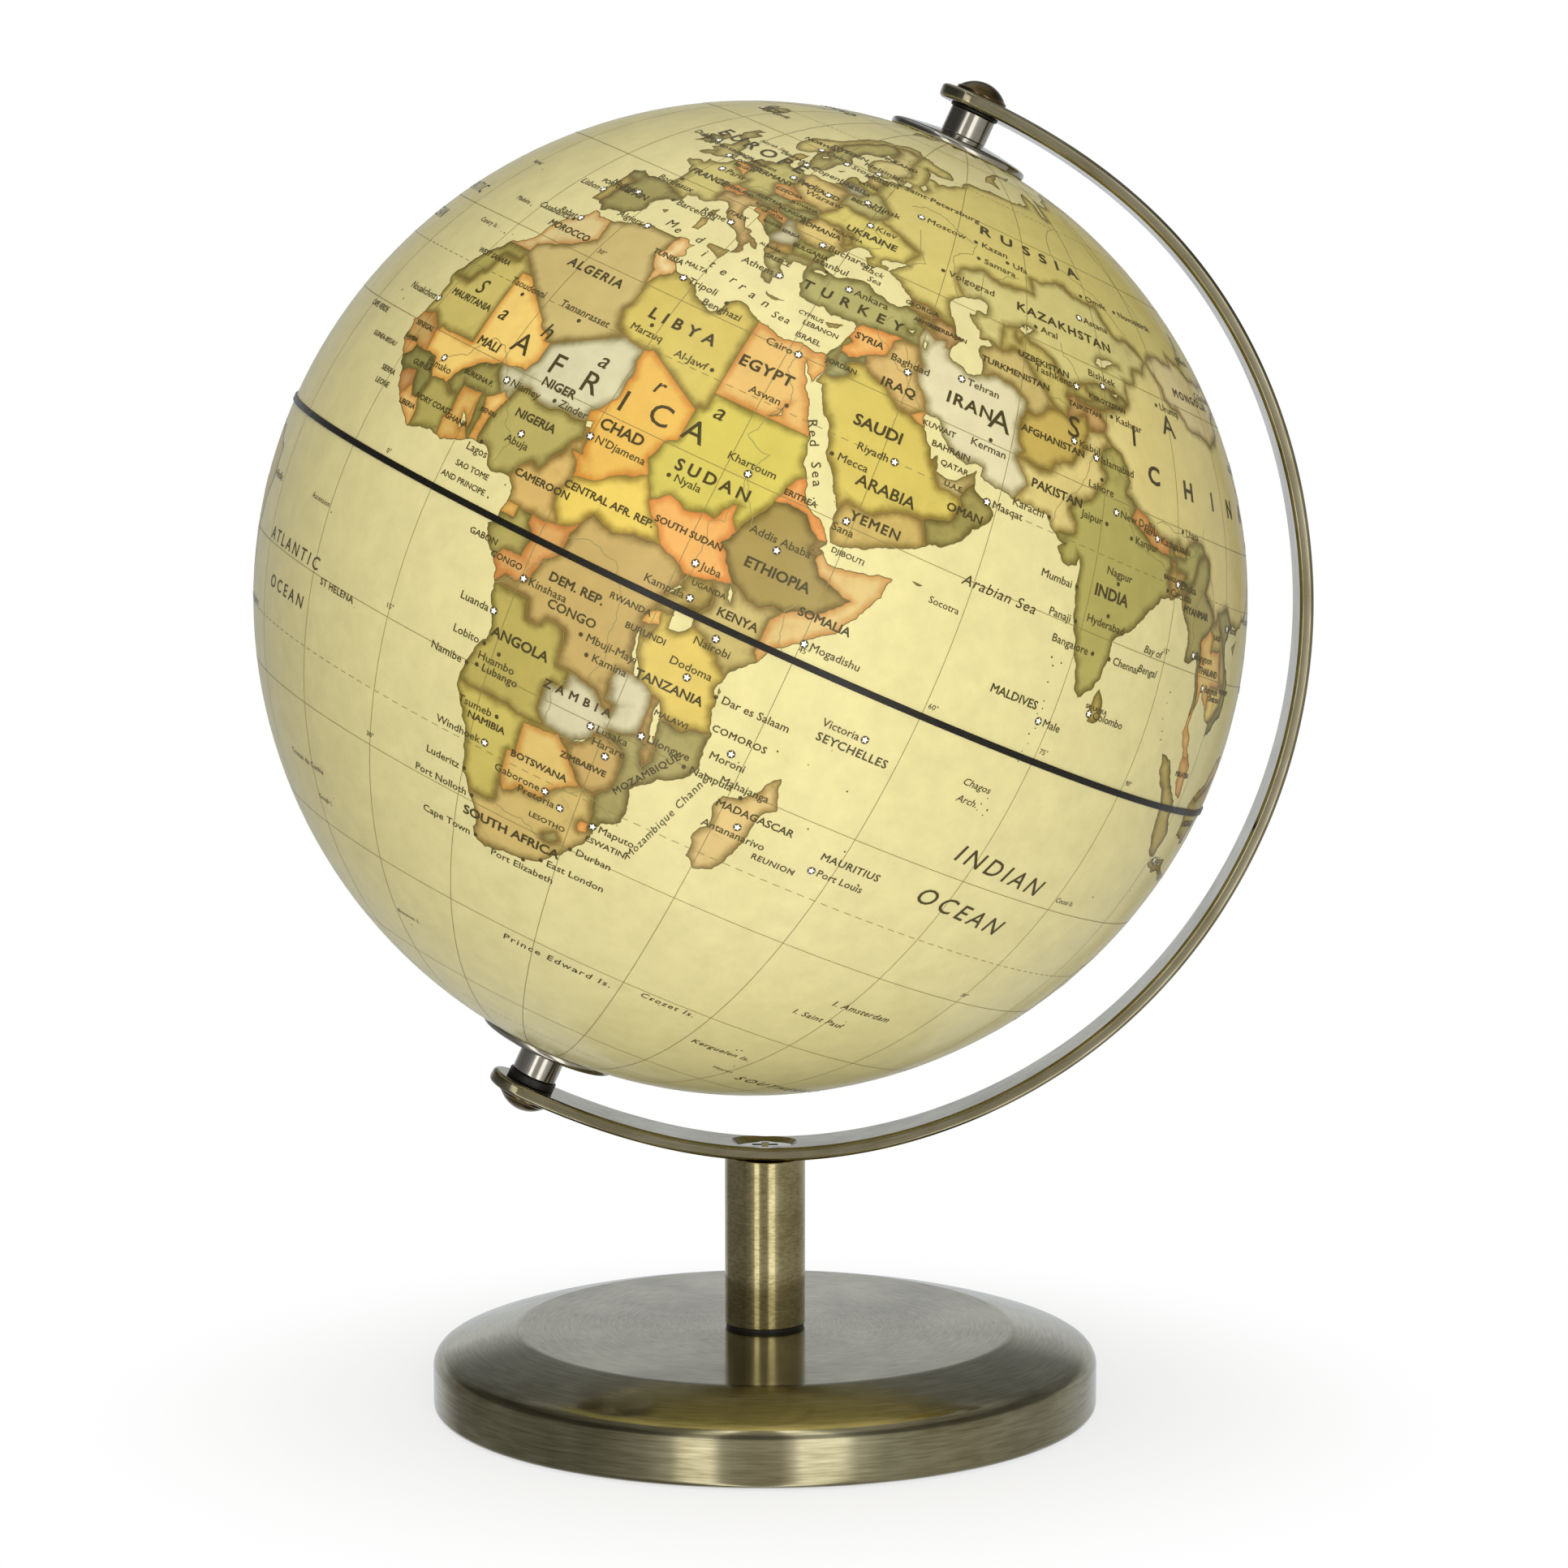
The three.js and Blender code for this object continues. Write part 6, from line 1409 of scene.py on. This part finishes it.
def spot(bm, lon, lat, size, lift, corners=14, waist=1.0):  # a disc, or a star with a narrower waist
    known = len(bm.verts)
    bmesh.ops.create_circle(bm, cap_ends=True, segments=corners, radius=size)
    bm.verts.ensure_lookup_table()
    for vert in bm.verts[known:][1::2]:
        vert.co *= waist
    bendOn(bm, known, lon, lat, lift)


def makeNames():
    bm = bmesh.new()
    for name, lon, lat, size, color, spacing in readRows(lands):
        if name != "-":
            lettering(bm, name, float(lon), float(lat), float(size) * letters["scale"], letters["landBold"],
                      float(spacing.strip("!")))
    for name, lon, lat, size, spacing, turned, slant in readRows(seaNames):
        isIsland = name.isupper() and len(name) > 1 and slant == "0"
        bold = letters["islandBold" if isIsland else "seaBold"]
        lettering(bm, name, float(lon), float(lat), float(size) * letters["scale"], bold,
                  float(spacing), float(turned), float(slant))
    inkPiece("placeNames", bm, "453c1c")


def makeTowns():
    bm = bmesh.new()
    marks = bmesh.new()
    stars = bmesh.new()
    for name, lon, lat, side in readRows(towns):
        lon, lat = float(lon), float(lat)
        isCapital = name[0] == "*"
        nudge = math.degrees(letters["townGap"] / globe["radius"]) / math.cos(math.radians(lat))
        drop = math.degrees(letters["townDrop"] / globe["radius"])
        across, up, align = {"<": (-nudge, 0, "RIGHT"), "^": (0, drop, "CENTER"),
                             "_": (0, -drop, "CENTER"), "": (nudge, 0, "LEFT")}[side]
        lettering(bm, name[1:].strip(), lon + across, lat + up, letters["town"], letters["townBold"],
                  align=align)
        spot(marks, lon, lat, 0.8 if isCapital else 0.42, 0.075)
        if isCapital:
            spot(stars, lon, lat, 0.68, 0.09, 10, 0.5)
    inkPiece("townNames", bm, "4b4220")
    for lon, lat in readLine(islets):
        spot(marks, lon, lat, chance.uniform(0.09, 0.2), 0.06)
    inkPiece("townMarks", marks, "4a4020")
    inkPiece("capitalStars", stars, "fffdf0")


def makePrint():
    # The map: paper gores printed in antique tints, laid on the plastic ball and varnished satin.
    # Land tints scorch toward their outlines over about 2 mm, the way old maps were hand washed,
    # and the whole print is faintly mottled, 2 to 6 mm across, like aged paper.
    material, tree, shader = newMaterial("varnishedMapPrint")
    place = addNode(tree, "ShaderNodeTexCoord").outputs["Object"]
    ink = addNode(tree, "ShaderNodeAttribute", attribute_name="ink")
    fromEdge = addNode(tree, "ShaderNodeAttribute", attribute_name="fromEdge").outputs["Fac"]
    mottle = addNode(tree, "ShaderNodeTexNoise", {
        "Vector": place, "Scale": 1 / (5 * mm), "Detail": 5.0, "Roughness": 0.62}).outputs[0]
    ragged = addNode(tree, "ShaderNodeMapRange", {
        "Value": mottle, "From Min": 0.3, "From Max": 0.7, "To Min": -0.35, "To Max": 0.35}).outputs[0]
    reach = addNode(tree, "ShaderNodeMath", {0: fromEdge, 1: ragged}, operation="ADD").outputs[0]
    wash = addNode(tree, "ShaderNodeMapRange", {
        "Value": reach, "From Min": -0.2, "From Max": 1.9, "To Min": 1.0, "To Max": 0.0},
                   interpolation_type="SMOOTHSTEP").outputs[0]
    isLand, isBurnt = [addNode(tree, "ShaderNodeMath", {
        0: ink.outputs["Alpha"], 1: share}, operation="GREATER_THAN").outputs[0] for share in (0.25, 0.75)]
    scorch = addNode(tree, "ShaderNodeMix", {
        "Factor": isBurnt, 6: hexColor("a39c78"), 7: hexColor("e4bb90")}, data_type="RGBA").outputs[2]
    edged = addNode(tree, "ShaderNodeMix", {
        "Factor": wash, 6: ink.outputs["Color"], 7: scorch},
        data_type="RGBA", blend_type="MULTIPLY").outputs[2]
    onLand = addNode(tree, "ShaderNodeMix", {
        "Factor": isLand, 6: ink.outputs["Color"], 7: edged}, data_type="RGBA").outputs[2]
    tone = addNode(tree, "ShaderNodeMapRange", {
        "Value": mottle, "From Min": 0.3, "From Max": 0.7, "To Min": 0.93, "To Max": 1.05}).outputs[0]
    color = addNode(tree, "ShaderNodeVectorMath", {0: onLand, 1: tone}, operation="MULTIPLY").outputs[0]
    tree.links.new(color, shader.inputs["Base Color"])
    addVarnish(shader)
    return material


# a spot surely on the water, for the lakes whose corners average out on land
lakeSpots = {
    "blackSea": (33, 43), "caspian": (50.7, 41.7), "superior": (-88, 47.6), "baikal": (106.3, 52.64),
    "tanganyika": (29.5, -5.5), "nasser": (32.73, 23.3)}
chance = random.Random(11)
mapPrint = makePrint()
mapCorners, mapFaces, mapLook, coastEdges, borderEdges = layMap()
outlineCorners = sorted({corner for edge in coastEdges + borderEdges for corner in edge})
printedSkin("northMap", mapCorners, mapFaces, mapLook, outlineCorners, True)
printedSkin("southMap", mapCorners, mapFaces, mapLook, outlineCorners, False)
inkLines = {
    "coast": (chainsOf(coastEdges, mapCorners), "6b6236"),
    "border": (chainsOf(borderEdges, mapCorners), "8f6f3c"),
    "river": ([roughen(line, 0.14) for line in readLines(rivers)], "8f8752")}
for kind, (chains, color) in inkLines.items():
    inkBm = bmesh.new()
    ribbon(inkBm, chains, globe[kind + "Width"], globe["inkLift"])
    inkPiece(kind + "Ink", inkBm, color)
makeGraticule()
makeNames()
makeTowns()
# the moulded half balls under the print, and the tape over their joint
shell = {"outer": 99.4, "inner": 98, "rings": 30, "steps": 120}
band = {"low": 99, "high": 100.35, "half": 0.64, "rounding": 0.12, "steps": 360}


def makeHalfBall(half, place):
    climb = [math.radians(step * globe["poleHole"] / shell["rings"]) for step in range(shell["rings"] + 1)]
    wall = [(shell["outer"] * math.cos(a), shell["outer"] * math.sin(a)) for a in climb]
    wall += [(shell["inner"] * math.cos(a), shell["inner"] * math.sin(a)) for a in climb[::-1]]
    addPiece(half + "HalfBall", turn(wall, shell["steps"], place), whiteNylon, "globe")


def makeBand():
    tape = [(band["low"], -band["half"]), (band["high"], -band["half"], band["rounding"]),
            (band["high"], band["half"], band["rounding"]), (band["low"], band["half"])]
    addPiece("equatorBand", turn(tape, band["steps"], northPlace), vinylTape, "globe",
             ["equator_band"])


makeHalfBall("north", northPlace)
makeHalfBall("south", southPlace)
makeBand()
print("globe made")


def stageDisc(name, inner, outer, material):
    bm = bmesh.new()
    bmesh.ops.create_circle(bm, cap_ends=False, segments=96, radius=outer)
    if inner:
        bmesh.ops.create_circle(bm, cap_ends=False, segments=96, radius=inner)
        bmesh.ops.bridge_loops(bm, edges=bm.edges)
    else:
        bmesh.ops.contextual_create(bm, geom=bm.edges)
    for face in bm.faces:
        if face.normal.z < 0:
            face.normal_flip()
    mesh = meshFrom(bm)
    mesh.materials.append(material)
    disc = bpy.data.objects.new(name, mesh)
    bpy.context.collection.objects.link(disc)
    disc.visible_glossy = False
    return disc


stage = {"near": 0.2, "far": 40.0, "fadeStart": 0.07, "fadeEnd": 0.15}


def makeStage():
    # a matt white floor under the object that turns to plain white a little way out; the metal
    # mirrors the studio's lights instead of it
    material, tree, shader = newMaterial("paleFloor")
    place = addNode(tree, "ShaderNodeTexCoord").outputs["Object"]
    away = addNode(tree, "ShaderNodeVectorMath", {0: place}, operation="LENGTH").outputs["Value"]
    plain = addNode(tree, "ShaderNodeMapRange", {
        "Value": away, "From Min": stage["fadeStart"], "From Max": stage["fadeEnd"], "To Min": 0.7,
        "To Max": 1.0}, interpolation_type="SMOOTHSTEP").outputs[0]
    shader.inputs["Base Color"].default_value = hexColor("fcfcfb")
    shader.inputs["Roughness"].default_value = 0.9
    shader.inputs["Specular IOR Level"].default_value = 0.1
    white = addNode(tree, "ShaderNodeEmission", {"Color": hexColor("ffffff")}).outputs[0]
    mixed = addNode(tree, "ShaderNodeMixShader", {0: plain, 1: shader.outputs[0], 2: white}).outputs[0]
    tree.links.new(mixed, tree.nodes["Material Output"].inputs["Surface"])
    stageDisc("floor", 0, stage["near"], material)
    far, farTree, _ = newMaterial("whiteBeyond")
    glow = addNode(farTree, "ShaderNodeEmission", {"Color": hexColor("ffffff")}).outputs[0]
    farTree.links.new(glow, farTree.nodes["Material Output"].inputs["Surface"])
    beyond = stageDisc("floorBeyond", stage["near"], stage["far"], far)
    beyond.visible_diffuse = False


cool, plain, warm = (0.94, 0.98, 1.02), (1, 1, 0.97), (1, 0.96, 0.88)
# what the metal mirrors by compass angle from the camera: angle, brightness, tint
studio = [
    (-180, 0.7, cool), (-150, 0.55, cool), (-130, 0.2, plain), (-60, 0.18, plain), (-42, 0.3, plain),
    (-31, 0.6, plain), (-28, 1.7, plain), (-18, 1.7, plain), (-15, 0.5, plain), (-5, 0.38, warm),
    (6, 0.42, warm), (10, 0.8, plain), (12, 1.6, plain), (26, 1.6, plain), (31, 0.7, plain),
    (42, 0.42, plain), (60, 0.36, warm), (110, 0.3, plain), (150, 0.5, cool), (180, 0.7, cool)]
# and by height above the horizon for what faces up: sine of the angle, brightness against the ring
sky = [(0.0, 1.0), (0.2, 0.95), (0.34, 0.35), (0.62, 0.28), (0.8, 0.8), (1.0, 1.0)]


def makeWorld():
    # a white room for the eye; what the metal mirrors is a studio with two tall strip lights
    # in front, a broad soft side on the right and a dimmer one on the left
    world = bpy.data.worlds.new("studio")
    bpy.context.scene.world = world
    world.use_nodes = True
    tree = world.node_tree
    way = addNode(tree, "ShaderNodeTexCoord").outputs["Generated"]
    axes = addNode(tree, "ShaderNodeSeparateXYZ", {0: way}).outputs
    back = addNode(tree, "ShaderNodeMath", {0: axes[1], 1: -1.0}, operation="MULTIPLY").outputs[0]
    azimuth = addNode(tree, "ShaderNodeMath", {0: axes[0], 1: back}, operation="ARCTAN2").outputs[0]
    share = addNode(tree, "ShaderNodeMapRange", {
        "Value": azimuth, "From Min": -math.pi, "From Max": math.pi}).outputs[0]
    ramp = addNode(tree, "ShaderNodeValToRGB", {0: share})
    bar = ramp.color_ramp.elements
    while len(bar) < len(studio):
        bar.new(0.5)
    for element, (degrees, level, color) in zip(bar, studio):
        element.position = degrees / 360 + 0.5
        element.color = [level * channel for channel in color] + [1]
    climb = addNode(tree, "ShaderNodeValToRGB", {0: axes[2]})
    stops = climb.color_ramp.elements
    while len(stops) < len(sky):
        stops.new(0.5)
    for element, (position, level) in zip(stops, sky):
        element.position = position
        element.color = (level, level, level, 1)
    room = addNode(tree, "ShaderNodeMix", {
        "Factor": 1.0, 6: ramp.outputs[0], 7: climb.outputs[0]},
        data_type="RGBA", blend_type="MULTIPLY").outputs[2]
    rays = addNode(tree, "ShaderNodeLightPath").outputs
    shade = addNode(tree, "ShaderNodeMix", {
        "Factor": rays["Is Diffuse Ray"], 6: room, 7: (0.42, 0.42, 0.42, 1)}, data_type="RGBA").outputs[2]
    color = addNode(tree, "ShaderNodeMix", {
        "Factor": rays["Is Camera Ray"], 6: shade, 7: (1, 1, 1, 1)}, data_type="RGBA").outputs[2]
    tree.links.new(color, tree.nodes["Background"].inputs["Color"])


# soft boxes that light the matt surfaces; the metal mirrors the studio instead
lights = {
    "frontSoft": {"place": (0.12, -1.75, 0.42), "size": (0.8, 0.7), "power": 28},
    "topSoft": {"place": (-0.2, -0.3, 1.6), "size": (1.2, 1.2), "power": 5}}


def makeLight(name, look):
    lamp = bpy.data.lights.new(name, "AREA")
    lamp.shape = "RECTANGLE"
    lamp.size, lamp.size_y = look["size"]
    lamp.energy = look["power"]
    light = bpy.data.objects.new(name, lamp)
    light.location = look["place"]
    light.rotation_euler = (ballCentre - Vector(look["place"])).to_track_quat("-Z", "Y").to_euler()
    light.visible_glossy = False
    bpy.context.collection.objects.link(light)


# the camera from the ball's centre in mm, its tilt in degrees and its lens in mm
view = {"right": 6.7, "back": 889.6, "above": 62.4, "down": 6.4, "lens": 101.07, "sensor": 36}


def makeCamera():
    camera = bpy.data.objects.new("camera", bpy.data.cameras.new("camera"))
    camera.data.lens = view["lens"]
    camera.data.sensor_width = view["sensor"]
    camera.location = ballCentre + Vector((view["right"], -view["back"], view["above"])) * mm
    camera.rotation_euler = (math.radians(90 - view["down"]), 0, 0)
    bpy.context.collection.objects.link(camera)
    bpy.context.scene.camera = camera


makeStage()
makeWorld()
for name, look in lights.items():
    makeLight(name, look)
makeCamera()
bpy.context.scene.view_settings.view_transform = "Standard"
print("stage, lights and camera set")
